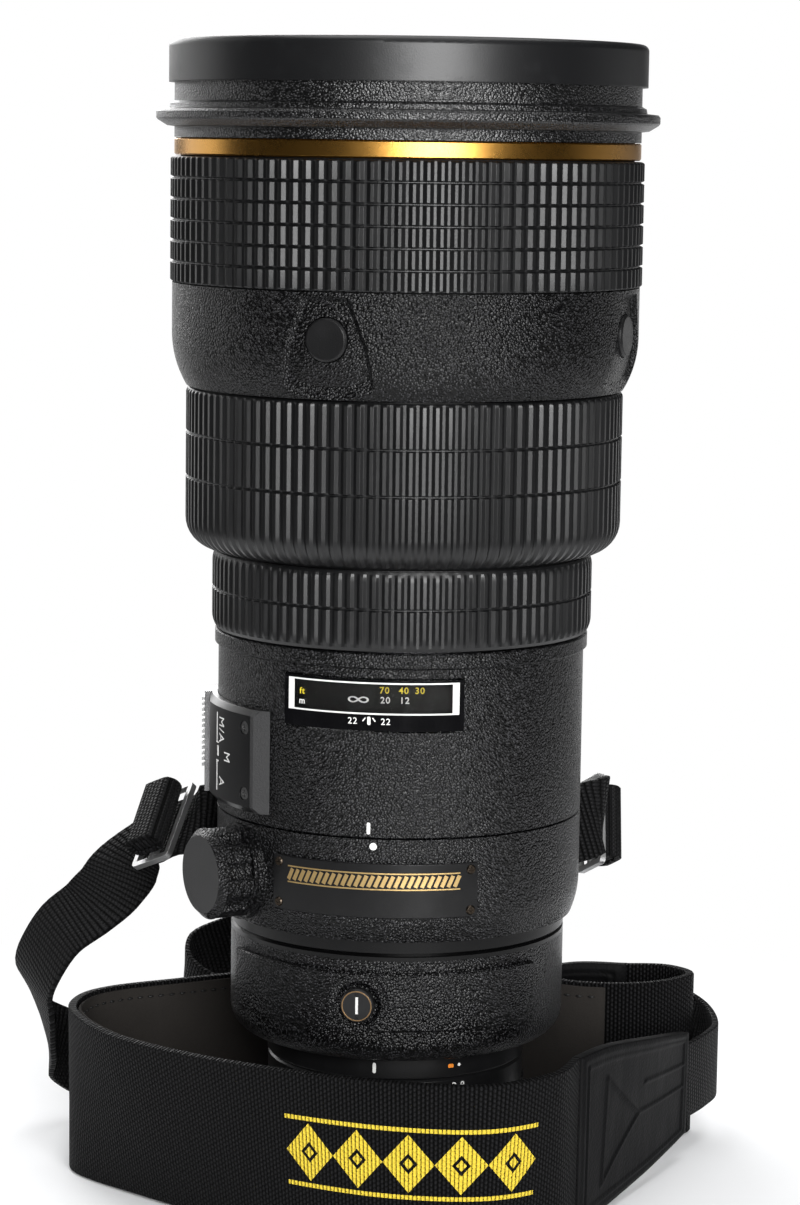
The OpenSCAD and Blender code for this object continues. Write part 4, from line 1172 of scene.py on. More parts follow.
@dataclass
class Scale:
    """The distance scale, its window and the depth marks under it, in millimetres and degrees."""

    drum_r: float = 44.0
    pane_r: float = 46.25
    middle: float = -0.8
    border_half: float = 28.2
    border_in: float = 0.3
    border_sunk: float = 0.03
    border_lap: float = 0.1
    frame_half: float = 26.7
    frame_low: float = 127.9
    frame_high: float = 135.3
    frame_line: float = 0.38
    side_bar: float = 1.7
    side_in: float = 1.05
    side_lap: float = 0.2
    figure: float = 1.6
    feet_z: float = 133.3
    metres_z: float = 130.9
    unit_a: float = -22.7
    unit_drop: float = 1
    far_size: float = 2.8
    far_wide: float = 1.6
    far_a: float = -5.1
    depth_a: float = -1.2
    depth_z: float = 126.0
    dash: tuple[float, float] = (0.8, 2.0)
    dash_round: float = 0.3
    dash_lift: float = 0.2
    tick: tuple[float, float] = (0.28, 1.1)
    tick_a: float = 1.5
    tick_lift: float = 0.5
    tick_turn: float = 38
    stop: str = "22"
    stop_a: float = 5.0
    stop_bold: float = 0.008
    feet: tuple[tuple[str, float], ...] = (("70", 3.1), ("40", 9.1), ("30", 14.1), ("25", 33), ("20", 40),
                                           ("15", 49), ("12", 58), ("10", 68))
    metres: tuple[tuple[str, float], ...] = (("20", 3.4), ("12", 9.4), ("8", 33), ("6", 40), ("5", 49),
                                             ("4", 58), ("3", 68))

    def build(self) -> None:
        """Prints the drum, the pane's frame and units, the depth marks and the border."""
        drum = Print()
        drum.figure("\u221e", self.far_size, self.drum_r, self.far_a, self.metres_z,
                    wide=self.far_wide, bold=0)
        for text, angle in self.metres:
            drum.figure(text, self.figure, self.drum_r, angle, self.metres_z)
        for text, angle in self.feet:
            drum.figure(text, self.figure, self.drum_r, angle, self.feet_z, ink=1)
        drum.piece("scale_figures", [Finishes.WHITE, Finishes.YELLOW], Body.SCALE, "scale_drum")

        pane = Print()
        self._frame(pane)
        self._depth_marks(pane)
        pane.figure("ft", self.figure, self.pane_r, self.unit_a, self.feet_z - self.unit_drop, ink=1)
        pane.figure("m", self.figure, self.pane_r, self.unit_a, self.metres_z - self.unit_drop)
        pane.piece("window_figures", [Finishes.WHITE, Finishes.YELLOW], Body.BARREL, "scale_window")
        self._border()

    def _girth(self, half: float) -> float:
        """Gives the length round the pane of twice that many degrees."""
        return math.radians(2 * half) * self.pane_r

    def _frame(self, pane: Print) -> None:
        """Prints the white frame round the opening.

        Args:
            pane: the print that it goes into.
        """
        for height in (self.frame_low, self.frame_high):
            pane.bar(self._girth(self.frame_half), self.frame_line, self.pane_r, self.middle, height)
        tall = self.frame_high - self.frame_low
        for side in (-1, 1):
            angle = self.middle + side * (self.frame_half - self.side_in)
            pane.bar(self.side_bar, tall, self.pane_r, angle, (self.frame_high + self.frame_low) / 2)

    def _depth_marks(self, pane: Print) -> None:
        """Prints the dash, the ticks and the two stops under the frame.

        Args:
            pane: the print that they go into.
        """
        for side in (-1, 1):
            pane.figure(self.stop, self.figure, self.pane_r, self.depth_a + side * self.stop_a, self.depth_z,
                        bold=self.stop_bold)
            pane.bar(*self.tick, self.pane_r, self.depth_a + side * self.tick_a,
                     self.depth_z + self.tick_lift, turn=side * self.tick_turn)
        pane.bar(*self.dash, self.pane_r, self.depth_a, self.depth_z + self.dash_lift,
                 round_by=self.dash_round)

    def _border(self) -> None:
        """Paints the black border on the outside of the pane, with the opening left clear."""
        lo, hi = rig.box("scale_window")
        low, high = lo.z / MM + self.border_in, hi.z / MM - self.border_in
        border = Print()
        radius = self.pane_r - self.border_sunk
        wide = self._girth(self.border_half)
        lap = self.border_lap
        for bottom, top in ((low, self.frame_low + lap), (self.frame_high - lap, high)):
            border.bar(wide, top - bottom, radius, self.middle, (top + bottom) / 2)
        for side in (-1, 1):
            end = (wide - self._girth(self.frame_half)) / 2 + self.side_bar - self.side_lap
            turn = math.degrees(side * (wide / 2 - end / 2) / self.pane_r)
            border.bar(end, high - low, radius, self.middle + turn, (high + low) / 2)
        border.piece("window_border", [Finishes.GLOSS], Body.BARREL, "scale_window")


@dataclass
class Marks:
    """Index marks, switch labels, the plate's ornament and figures round the barrel.

    A mark's place is its angle in degrees and its level in millimetres; its size is its girth and height.
    """

    main_r: float = 45.9
    panel_r: float = 48.6
    index_r: float = 32.7
    aperture_r: float = 32.5
    plate_r: float = 46.5
    index_w: float = 0.85
    index_round: float = 0.35
    barrel_index_h: float = 2.9
    barrel_index: tuple[float, float] = (-1, 99.9)
    collar_dot: float = 1.8
    collar_index: tuple[float, float] = (0.5, 95.5)
    ring_index_h: float = 2.6
    ring_index: tuple[float, float] = (-1, 37.1)
    ring_bar: tuple[float, float] = (1.5, 1.0)
    ring_bar_round: float = 0.3
    ring_bar_place: tuple[float, float] = (33, 37.2)
    ring_dot: float = 0.8
    ring_dot_place: tuple[float, float] = (37, 37.3)
    stops: tuple[str, ...] = ("2.8", "4", "5.6", "8", "11", "16", "22")
    stop_size: float = 1.9
    stop_a: float = 37
    stop_step: float = 9.5
    stop_z: float = 31.8
    label_size: float = 3.2
    label_wide: float = 0.8
    label_turn: float = -90
    labels: tuple[tuple[str, float, float], ...] = (("M/A", -57, 119.2), ("M", -53.2, 112.8),
                                                    ("A", -56.8, 106.2))
    leads: tuple[tuple[tuple[float, float], tuple[float, float]], ...] = (
        ((0.5, 7.6), (-60.4, 119.4)), ((1.6, 0.35), (-60.0, 115.7)), ((0.9, 2.6), (-59.6, 113.6)),
        ((0.5, 7.6), (-60.4, 107.4)), ((1.6, 0.35), (-60.0, 111.1)))
    plate_lines: tuple[float, float] = (89.0, 85.1)
    plate_line_w: float = 0.35
    plate_half: float = 27
    dash: tuple[float, float] = (1.0, 3.0)
    dash_z: float = 87.05
    dash_turn: float = -24
    dash_step: float = 2.0
    dashes_each_way: int = 13

    def build(self) -> None:
        """Prints all marks."""
        barrel = Print()
        barrel.bar(self.index_w, self.barrel_index_h, self.main_r, *self.barrel_index,
                   round_by=self.index_round)
        barrel.piece("barrel_index", [Finishes.WHITE], Body.BARREL, "main_barrel")

        collar = Print()
        collar.dot(self.collar_dot, self.main_r, *self.collar_index)
        collar.piece("collar_index", [Finishes.WHITE], Body.COLLAR, "collar_ring")

        self._switch_labels()
        index = Print()
        index.bar(self.index_w, self.ring_index_h, self.index_r, *self.ring_index, round_by=self.index_round)
        index.bar(*self.ring_bar, self.index_r, *self.ring_bar_place, ink=1, round_by=self.ring_bar_round)
        index.dot(self.ring_dot, self.index_r, *self.ring_dot_place)
        index.piece("index_marks", [Finishes.WHITE, Finishes.ORANGE], Body.BARREL, "index_ring")

        aperture = Print()
        for number, text in enumerate(self.stops):
            ink = 1 if text == self.stops[-1] else 0
            angle = self.stop_a - self.stop_step * number
            aperture.figure(text, self.stop_size, self.aperture_r, angle, self.stop_z, ink=ink)
        aperture.piece("aperture_figures", [Finishes.WHITE, Finishes.ORANGE], Body.APERTURE, "aperture_ring")
        self._plate()

    def _switch_labels(self) -> None:
        """Prints the three settings of the focus switch and the lines that join them to it."""
        panel = Print()
        for text, angle, height in self.labels:
            panel.figure(text, self.label_size, self.panel_r, angle, height, turn=self.label_turn,
                         wide=self.label_wide, bold=0)
        for size, place in self.leads:
            panel.bar(*size, self.panel_r, *place)
        panel.piece("switch_labels", [Finishes.WHITE], Body.BARREL, "switch_panel")

    def _plate(self) -> None:
        """Prints a band of slanting gilt dashes between two lines on the bare plate."""
        plate = Print()
        girth = math.radians(2 * self.plate_half) * self.plate_r
        for height in self.plate_lines:
            plate.bar(girth, self.plate_line_w, self.plate_r, 0, height)
        for number in range(-self.dashes_each_way, self.dashes_each_way + 1):
            plate.bar(*self.dash, self.plate_r, number * self.dash_step, self.dash_z, turn=self.dash_turn)
        plate.piece("plate_lines", [Finishes.GILT], Body.COLLAR, "name_plate")


@dataclass
class Trim:
    """Small fittings on the outside: the switch slot's edge, the knob's face and the filter lock's mark."""

    slot_half: float = 3.65
    slot_top: float = 49.0
    slot_deep: float = 1.5
    slot_low: float = 100.5
    slot_high: float = 126.0
    slot_a: float = -82
    slot_lip: float = 0.5
    slot_sheet: float = 0.12
    knob_a: float = -51
    knob_z: float = 84.5
    knob_face: float = 56.5
    knob_face_r: float = 9.6
    lock_a: float = -4
    lock_z: float = 55.9
    lock_r: float = 4.2
    lock_top: float = 45.8
    lock_rim: tuple[float, float] = (0.75, 0.45)
    lock_mark_w: float = 0.75
    lock_mark_drop: float = 0.42
    disc_t: float = 0.06
    disc_sides: int = 64
    disc_pin: float = 0.01

    def build(self) -> None:
        """Makes the three fittings."""
        self._slot()
        self._disc("knob_face", 0, self.knob_face_r, self._out(self.knob_a, self.knob_face, self.knob_z),
                   Finishes.FACE, Body.KNOB, "lock_knob")
        inner, outer = (self.lock_r - inset for inset in self.lock_rim)
        self._disc("lock_rim", inner, outer, self._out(self.lock_a, self.lock_top, self.lock_z),
                   Finishes.BRASS, Body.FILTER_LOCK, "filter_knob")
        mark = Print()
        mark.bar(self.lock_mark_w, self.lock_r, self.lock_top - self.lock_mark_drop, self.lock_a, self.lock_z)
        mark.piece("lock_mark", [Finishes.WHITE], Body.FILTER_LOCK, "filter_knob")

    def _out(self, angle: float, reach: float, height: float) -> Matrix:
        """Gives a frame on the outside of the lens, its z axis pointing out."""
        spot = Matrix.Translation((0, -reach * MM, height * MM)) @ Matrix.Rotation(math.radians(90), 4, "X")
        return Matrix.Rotation(math.radians(angle), 4, "Z") @ spot

    def _slot(self) -> None:
        """Wraps a bright edge round the slot of the focus switch: lips along it, walls and end lips."""
        mesh = bmesh.new()
        tall = self.slot_high - self.slot_low
        lip, sheet, half = self.slot_lip, self.slot_sheet, self.slot_half
        bars = ((lip, tall, sheet, half - lip / 2, 0),
                (sheet, tall, self.slot_deep, half + sheet / 2, 0),
                (2 * half, lip, sheet, 0, tall / 2 - lip / 2))
        for side in (-1, 1):
            for wide, high, deep, x, y in bars:
                place = Matrix.Translation((side * x * MM, side * y * MM, (sheet - deep / 2) * MM))
                size = Matrix.Diagonal((wide * MM, high * MM, deep * MM, 1))
                bmesh.ops.create_cube(mesh, size=1, matrix=place @ size)
        middle = (self.slot_high + self.slot_low) / 2
        mesh.transform(self._out(self.slot_a, self.slot_top, middle))
        add_piece("slot_edge", mesh, [Finishes.STEEL], Body.BARREL, "switch_panel", smooth=False)

    def _disc(self, name: str, inner: float, outer: float, place: Matrix, finish: Finish, body: Body,
              slot: str) -> None:
        """Lays a thin flat ring, or a disc where inner is nought.

        Args:
            name: the piece's name.
            inner: inner radius in millimetres.
            outer: outer radius.
            place: its frame.
            finish: its finish.
            body: the body that it rides on.
            slot: the record's material slot.
        """
        mesh = bmesh.new()
        inner = max(inner, self.disc_pin)
        outline = ((inner, 0), (outer, 0), (outer, self.disc_t), (inner, self.disc_t))
        corners = [mesh.verts.new((x * MM, 0, z * MM)) for x, z in outline]
        edges = [mesh.edges.new((corners[i], corners[(i + 1) % 4])) for i in range(4)]
        bmesh.ops.spin(mesh, geom=corners + edges, cent=(0, 0, 0), axis=(0, 0, 1), steps=self.disc_sides,
                       angle=math.tau, use_merge=True)
        bmesh.ops.recalc_face_normals(mesh, faces=mesh.faces[:])
        mesh.transform(place)
        add_piece(name, mesh, [finish], body, slot, smooth=False)


@dataclass
class Route:
    """A flat strap's route: rows of centre, direction across and share of the width, in millimetres."""

    rows: Sequence[Row]

    def _between(self, index: int, share: float) -> Vector:
        """Works out a row on the smooth curve through the rows.

        Args:
            index: the row before it.
            share: how far it is on the way to the next row.

        Returns:
            The row's seven numbers.
        """
        last = len(self.rows) - 1
        a, b, c, d = (Vector(self.rows[min(max(i, 0), last)]) for i in range(index - 1, index + 3))
        return (2 * b + (c - a) * share + (2 * a - 5 * b + 4 * c - d) * share**2
                + (3 * b - a - 3 * c + d) * share**3) / 2

    def samples(self, steps: int) -> list[Vector]:
        """Gives the smoothed rows, with that many steps between two rows."""
        rows = [self._between(i, k / steps) for i in range(len(self.rows) - 1) for k in range(steps)]
        return rows + [Vector(self.rows[-1])]


class Strip:
    """A strap laid along a route: frames at even steps, and points given across, along and off its face."""

    NEAR = 1e-4
    EDGE_STEPS = 3

    def __init__(self, route: Route, steps: int = 10) -> None:
        """Works out the frames of the smoothed route.

        Args:
            route: the route.
            steps: frames from one row of the route to the next.
        """
        self.steps = steps
        rows = route.samples(steps)
        self.points = [Vector(row[:3]) for row in rows]
        self.shares = [row[6] for row in rows]
        self.across: list[Vector] = []
        self.facing: list[Vector] = []
        self.travel = [0.0]
        for index, row in enumerate(rows):
            before, after = self.points[max(index - 1, 0)], self.points[min(index + 1, len(rows) - 1)]
            ahead = (after - before).normalized()
            side = Vector(row[3:6]).normalized()
            side = (side - ahead * side.dot(ahead)).normalized()
            self.across.append(side)
            self.facing.append(ahead.cross(side))
            if index:
                self.travel.append(self.travel[-1] + (self.points[index] - self.points[index - 1]).length)

    @property
    def length(self) -> float:
        """Length of the centre line in millimetres."""
        return self.travel[-1]

    def at(self, along: float, across: float, off: float) -> Vector:
        """Gives a point on the strap.

        Args:
            along: distance along it in millimetres.
            across: distance from its middle line, before its taper.
            off: distance off its face, on the side that looks at the lens.

        Returns:
            The point in metres.
        """
        index = 0
        while index < len(self.travel) - 2 and self.travel[index + 1] < along:
            index += 1
        share = (along - self.travel[index]) / (self.travel[index + 1] - self.travel[index])
        point = self.points[index].lerp(self.points[index + 1], share)
        side = self.across[index].lerp(self.across[index + 1], share).normalized()
        face = self.facing[index].lerp(self.facing[index + 1], share).normalized()
        taper = self.shares[index] * (1 - share) + self.shares[index + 1] * share
        return (point + side * across * taper + face * off) * MM

    def sheet(self, width: float, thick: float, start: float = 0, end: float | None = None, off: float = 0,
              step: float = 2.0, columns: int = 8, edge: float = 0.35,
              relief: Callable[[float, float], float] | None = None) -> bmesh.types.BMesh:
        """Makes a stretch of the strap as a closed sheet with soft edges.

        Args:
            width: its width in millimetres.
            thick: its thickness.
            start: where it begins along the route.
            end: where it ends, or the route's own end.
            off: distance of its middle off the route.
            step: length of its faces.
            columns: faces across it.
            edge: radius of its edges.
            relief: gives how far both faces stand up at a point along and across.

        Returns:
            The mesh, with a UV map in metres, across and along.
        """
        end = self.length if end is None else end
        mesh = bmesh.new()
        rows = max(2, round((end - start) / step))
        bmesh.ops.create_grid(mesh, x_segments=columns, y_segments=rows, size=0.5)
        layer = mesh.loops.layers.uv.new("UVMap")
        for vert in mesh.verts:
            vert.co = (vert.co.x * width, start + (vert.co.y + 0.5) * (end - start), thick / 2)
        lower = points_of(bmesh.ops.extrude_face_region(mesh, geom=mesh.faces[:]))
        bmesh.ops.translate(mesh, vec=(0, 0, -thick), verts=lower)
        rims = [e for e in mesh.edges if all(abs(abs(v.co.x) - width / 2) < self.NEAR for v in e.verts)
                and abs(e.verts[0].co.z - e.verts[1].co.z) < SAME]
        bmesh.ops.bevel(mesh, geom=rims, offset=edge, segments=self.EDGE_STEPS, profile=0.5, affect="EDGES",
                        material=-1)
        bmesh.ops.recalc_face_normals(mesh, faces=mesh.faces[:])
        for face in mesh.faces:
            for loop in face.loops:
                loop[layer].uv = (loop.vert.co.x * MM, loop.vert.co.y * MM)
        for vert in mesh.verts:
            x, y, z = vert.co
            if relief:
                z += math.copysign(relief(y, x), z)
            vert.co = self.at(y, x, z + off)
        bmesh.ops.recalc_face_normals(mesh, faces=mesh.faces[:])
        return mesh

    def path(self, step: float = 4.0) -> list[Vector]:
        """Lists points of the centre line.

        Args:
            step: about how far apart they are, in millimetres.

        Returns:
            The points in metres.
        """
        count = max(2, round(self.length / step))
        return [self.at(self.length * i / count, 0, 0) for i in range(count + 1)]


@dataclass
class Stitching:
    """Rows of stitches sunk a little into a strap's face."""

    strip: Strip
    long: float = 1.9
    gap: float = 0.9
    thick: float = 0.8
    mesh: bmesh.types.BMesh = field(default_factory=bmesh.new)

    def row(self, first: tuple[float, float], last: tuple[float, float], off: float) -> None:
        """Sews one straight row.

        Args:
            first: where it starts, along and across, in millimetres.
            last: where it ends.
            off: height of the thread off the strap's middle.
        """
        start, end = Vector((*first, 0)), Vector((*last, 0))
        span = (end - start).length
        count = max(1, round(span / (self.long + self.gap)))
        for number in range(count):
            middle = start.lerp(end, (number + 0.5) / count)
            half = (end - start).normalized() * self.long / 2
            one = self.strip.at(middle.x - half.x, middle.y - half.y, off)
            two = self.strip.at(middle.x + half.x, middle.y + half.y, off)
            lay = (two - one).to_track_quat("Z", "Y").to_matrix().to_4x4()
            size = Matrix.Diagonal((self.thick * MM / 2, self.thick * MM / 2, (two - one).length / 2, 1))
            bmesh.ops.create_icosphere(self.mesh, subdivisions=1, radius=1,
                                       matrix=Matrix.Translation((one + two) / 2) @ lay @ size)

    def piece(self, name: str, slot: str) -> bpy.types.Object:
        """Ends the sewing and hands back the piece."""
        return add_piece(name, self.mesh, [Finishes.THREAD], Body.COLLAR, slot)


@dataclass
class Strap:
    """The carrying strap: band, lining, leather ends, webbing, slides and rolled ends."""

    band_w: float = 43.5
    band_t: float = 2.2
    lining_t: float = 0.8
    patch_t: float = 3.0
    lap: float = 1.4
    web_w: float = 20.0
    web_t: float = 1.6
    lining_in: float = 0.8
    lining_off: float = 0.8
    lining_edge: float = 0.2
    lining_frames: tuple[int, int] = (20, 155)
    seam_in: float = 3.4
    seam_start: int = 2
    seam_step: int = 6
    patch_steps: int = 24
    patch_columns: int = 72
    patch_face: float = 0.6
    patch_edge: float = 0.3
    patch_spare: float = 0.5
    patch_sunk: float = 0.62
    welt_in: float = 1.6
    welt_high: float = 0.4
    groove_deep: float = 0.5
    groove_wide: float = 0.55
    arrow: tuple[float, float] = (0.2, 0.5)
    arrow_wings: tuple[float, float] = (0.62, -0.66)
    bar_start: float = 0.54
    bar_high: float = 0.4
    web_columns: int = 4
    roll_off: float = 5.95
    roll_r: float = 3.2
    roll_half: float = 2.4
    roll_turn: int = 14
    roll_lap: int = 2
    roll_steps: int = 4
    roll_columns: int = 6
    roll_face: float = 0.8
    core_reach: tuple[float, ...] = (-3.6, -1.2, 1.2, 3.6)
    core_in: float = 0.8
    core_slack: float = 0.3
    band_rows: Sequence[Row] = (
        (49.6, -38, 22, 0, -0.02, 1, 1), (45.2, -51, 22, 0.01, -0.1, 1, 1), (31, -63, 22, 0.01, -0.12, 1, 1),
        (9, -65, 22, 0, -0.1, 1, 1), (-15, -59, 22, -0.03, -0.13, 1, 1), (-41, -47, 22, -0.07, -0.2, 1, 1),
        (-64, -32, 22, -0.08, -0.2, 1, 1), (-80, -15, 22, 0, -0.08, 1, 1), (-82, -2, 22, 0, 0, 1, 1),
        (-76, 9, 22, 0, 0, 1, 1), (-61, 20, 22, 0, 0, 1, 1), (-45, 31, 22, 0, 0, 1, 1),
        (-24, 44, 22, 0, 0, 1, 1), (2, 48, 22, 0, 0, 1, 1), (24, 45, 22, 0, 0, 1, 1),
        (43, 38, 22, 0, 0, 1, 1), (57, 39, 22, 0, 0, 1, 1), (67, 45, 22, 0, 0, 1, 1),
        (72, 54, 22, 0, 0, 1, 1), (65, 61, 22, 0, 0, 1, 1), (54, 60, 22, 0, 0, 1, 1))
    patch_front_rows: Sequence[Row] = (
        (50.1, -36.7, 22, 0, -0.02, 1, 1), (55.3, -22, 22, 0.02, -0.06, 1, 0.97),
        (64, 3, 21, 0.03, -0.06, 1, 0.82), (72, 30, 20, 0, 0, 1, 0.62))
    patch_back_rows: Sequence[Row] = (
        (53.3, 60, 22, 0, 0, 1, 1), (40, 60, 22, 0, 0, 1, 0.98), (28, 60, 21, 0, 0, 1, 0.85),
        (12, 60, 20, 0, 0, 1, 0.6))
    right_rows: Sequence[Row] = (
        (72.3, 30.8, 20, 0, 0, 1, 1), (77, 44, 20, 0, 0, 1, 1), (79, 57, 20, 0, 0, 1, 1),
        (74, 71, 22, 0, 0, 1, 1), (60, 78, 26, 0, 0, 1, 1), (39, 79, 28, 0, 0, 1, 1),
        (9, 77, 26, 0, 0, 1, 1), (-26, 73, 20, 0, 0, 1, 1), (-50, 71, 20, 0, 0, 1, 1),
        (-64, 72, 23, 0.05, 0, 1, 1), (-71, 79, 27, 0.1, 0, 1, 1), (-69, 88, 31, 0.1, 0, 1, 1),
        (-58, 93, 35, 0.05, 0, 1, 1), (-40, 94, 42, 0, 0, 1, 1), (-18, 92, 52, 0, -0.1, 1, 1),
        (6, 85, 62, -0.05, -0.1, 1, 1), (25, 74, 71, -0.1, 0.1, 1, 1), (36.2, 61.5, 78.8, -0.05, 0.3, 1, 1),
        (42.2, 53.5, 83.6, 0, 0.4, 1, 1), (47.6, 45.8, 87.8, 0.1, 0.35, 1, 1),
        (47.8, 40.2, 88.2, 0.1, 0.2, 1, 1), (43.6, 37.4, 86.8, 0, 0.1, 1, 1),
        (38.8, 36.8, 85.4, 0, 0, 1, 1), (34.2, 38, 84.8, 0, 0, 1, 1), (29.6, 42, 84.8, 0, 0, 1, 1))
    left_rows: Sequence[Row] = (
        (10.8, 60.1, 20, 0, 0, 1, 1), (-8, 61, 17, 0, 0, 1, 1), (-38, 56, 14, 0, 0, 1, 1),
        (-67, 46, 13, 0, 0, 1, 1), (-84, 38, 14, 0, 0.1, 1, 1), (-95, 27, 23, -0.13, 0.18, 0.95, 1),
        (-96, 17, 31, -0.32, 0.46, 0.7, 1), (-96, 9, 39, -0.51, 0.74, 0.35, 1),
        (-96, 4, 46, -0.61, 0.74, 0.2, 1), (-93, 1, 53, -0.65, 0.67, 0.3, 1),
        (-88, 1, 60.5, -0.62, 0.64, 0.4, 1), (-81, 4, 66, -0.59, 0.62, 0.48, 1),
        (-76.5, 9, 70.5, -0.5, 0.65, 0.55, 1), (-73, 14.5, 76, -0.2, 0.7, 0.68, 1),
        (-68, 16.8, 81.6, 0.25, 0.64, 0.71, 1), (-61.8, 13.8, 84.6, 0.33, 0.61, 0.72, 1),
        (-54.2, 10.2, 88.2, 0.33, 0.6, 0.73, 1), (-48.8, 13.4, 87.2, 0.15, 0.25, 0.95, 1),
        (-47.8, 20, 85.4, 0, 0, 1, 1), (-44, 27, 84.8, 0, 0, 1, 1), (-39.2, 33, 84.8, 0, 0, 1, 1),
        (-34.2, 38, 84.8, 0, 0, 1, 1), (-29.6, 42.4, 84.8, 0, 0, 1, 1))
    right_slide_row: int = 18
    left_slide_row: int = 15

    def build(self) -> None:
        """Makes every piece of the strap and declares its three lengths."""
        band = Strip(Route(self.band_rows))
        right = Strip(Route(self.right_rows))
        left = Strip(Route(self.left_rows))
        woven = add_piece("strap_band_weave", band.sheet(self.band_w, self.band_t), [Finishes.BAND],
                          Body.COLLAR, "strap_band", ["strap_band"])
        lining = self._lining(band)
        front = self._patch("patch_front", self.patch_front_rows)
        back = self._patch("patch_back", self.patch_back_rows)
        web_right = self._webbing("webbing_right", right)
        web_left = self._webbing("webbing_left", left)
        rolls = {"right": self._roll("tail_right", right, self.right_slide_row, -1),
                 "left": self._roll("tail_left", left, self.left_slide_row, 1)}
        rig.cord(woven, exit=band.at(0, 0, 0), length=band.length * MM, diameter=self.band_w * MM,
                far_end="fitting", stiffness="limp", lay="loose", path=band.path(),
                with_pieces=[*lining, *front, *back])
        for name, web, strip in (("right", web_right, right), ("left", web_left, left)):
            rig.cord(web, exit=strip.at(0, 0, 0), length=strip.length * MM, diameter=self.web_w * MM,
                    far_end="object", stiffness="limp", lay="loose", path=strip.path(),
                    with_pieces=[f"slider_{name}", *rolls[name]])

    def _webbing(self, name: str, strip: Strip) -> bpy.types.Object:
        """Makes one length of webbing."""
        return add_piece(name + "_weave", strip.sheet(self.web_w, self.web_t, columns=self.web_columns),
                         [Finishes.WEBBING], Body.COLLAR, "webbing", [name])

    def _roll(self, name: str, strip: Strip, row: int, face: int) -> list[bpy.types.Object]:
        """Makes the free end of a webbing, rolled back over its slide.

        Args:
            name: the solid that it stands for.
            strip: the webbing.
            row: the row of its route that the slide is at.
            face: the side of the webbing, 1 or -1, that the slide is on.

        Returns:
            The outer turn and the layer inside it.
        """
        spot = strip.travel[row * strip.steps]
        middle = strip.at(spot, 0, face * (self.web_t / 2 + self.roll_off)) / MM
        ahead = (strip.at(spot + 0.5, 0, 0) - strip.at(spot - 0.5, 0, 0)).normalized()
        side = (strip.at(spot, 1, 0) - strip.at(spot, -1, 0)).normalized()
        up = ahead.cross(side) * face
        bend = self.roll_r - self.web_t / 2
        rows = []
        for number in range(-self.roll_lap, self.roll_turn + self.roll_lap + 1):
            turn = math.tau * number / self.roll_turn
            reach = bend * math.cos(turn) + math.copysign(self.roll_half, math.cos(turn))
            rows.append((*(middle + ahead * reach + up * bend * math.sin(turn)), *side, 1))
        outer = Strip(Route(rows), self.roll_steps).sheet(self.web_w, self.web_t, columns=self.roll_columns,
                                                          step=self.roll_face)
        rows = [(*(middle + ahead * reach), *side, 1) for reach in self.core_reach]
        inner = Strip(Route(rows), self.roll_steps).sheet(
            self.web_w - self.core_in, 2 * self.web_t - self.core_slack, columns=self.roll_columns,
            step=self.roll_face)
        return [add_piece(name + "_weave", outer, [Finishes.WEBBING], Body.COLLAR, "webbing", [name]),
                add_piece(name + "_inner", inner, [Finishes.WEBBING], Body.COLLAR, "webbing")]

    def _lining(self, band: Strip) -> list[bpy.types.Object]:
        """Makes the suede lining with its two rows of stitches.

        Args:
            band: the shoulder band that it lies on.

        Returns:
            The lining and its stitches.
        """
        off = self.band_t / 2 + self.lining_off
        start, end = (band.travel[frame] for frame in self.lining_frames)
        mesh = band.sheet(self.band_w - 2 * self.lining_in, self.lining_t, start, end, off,
                          edge=self.lining_edge)
        suede = add_piece("strap_lining_suede", mesh, [Finishes.SUEDE], Body.COLLAR, "strap_lining",
                          ["strap_lining"])
        seam = Stitching(band)
        step = self.seam_step
        for side in (-1, 1):
            across = side * (self.band_w / 2 - self.seam_in)
            for number in range(round(start) + self.seam_start, round(end) - step, step):
                seam.row((number, across), (number + step, across), off + self.lining_t / 2)
        return [suede, seam.piece("lining_stitches", "strap_lining")]

    def _seams(self, length: float) -> list[tuple[tuple[float, float], tuple[float, float]]]:
        """Lists the sewn lines of a leather end: a border, an arrow and two bars.

        Args:
            length: length of the leather in millimetres.

        Returns:
            Both ends of each line, along and across.
        """
        half = self.band_w / 2
        near, far = self.seam_in, length - self.seam_in
        high, low = half - self.seam_in, self.seam_in - half
        tail, tip = (length * share for share in self.arrow)
        wing_high, wing_low = (half * share for share in self.arrow_wings)
        bar = half * self.bar_high
        return [((near, high), (far, high)), ((near, low), (far, low)), ((near, high), (near, low)),
                ((far, high), (far, low)), ((tail, wing_high), (tail, wing_low)),
                ((tail, wing_high), (tip, 0)), ((tail, wing_low), (tip, 0)),
                ((length * self.bar_start, bar), (far, bar)), ((tip, 0), (far, 0))]

    def _patch(self, name: str, rows: Sequence[Row]) -> list[bpy.types.Object]:
        """Makes a leather end with a raised border and grooves under its seams.

        Args:
            name: the solid that it stands for.
            rows: its route.

        Returns:
            The leather and its stitches.
        """
        strip = Strip(Route(rows), self.patch_steps)
        half, length = self.band_w / 2, strip.length
        lines = self._seams(length)

        def relief(along: float, across: float) -> float:
            """Gives the welt along the border less the grooves under the stitches.

            Args:
                along: distance along the leather.
                across: distance from its middle line.

            Returns:
                How far the face stands up there.
            """
            rim = min(along, length - along, half - abs(across))
            welt = self.welt_high * math.exp(-(rim - self.welt_in) ** 2)
            spot = Vector((along, across))
            near = min(self._distance(spot, Vector(first), Vector(last)) for first, last in lines)
            return welt - self.groove_deep * math.exp(-((near / self.groove_wide) ** 2))

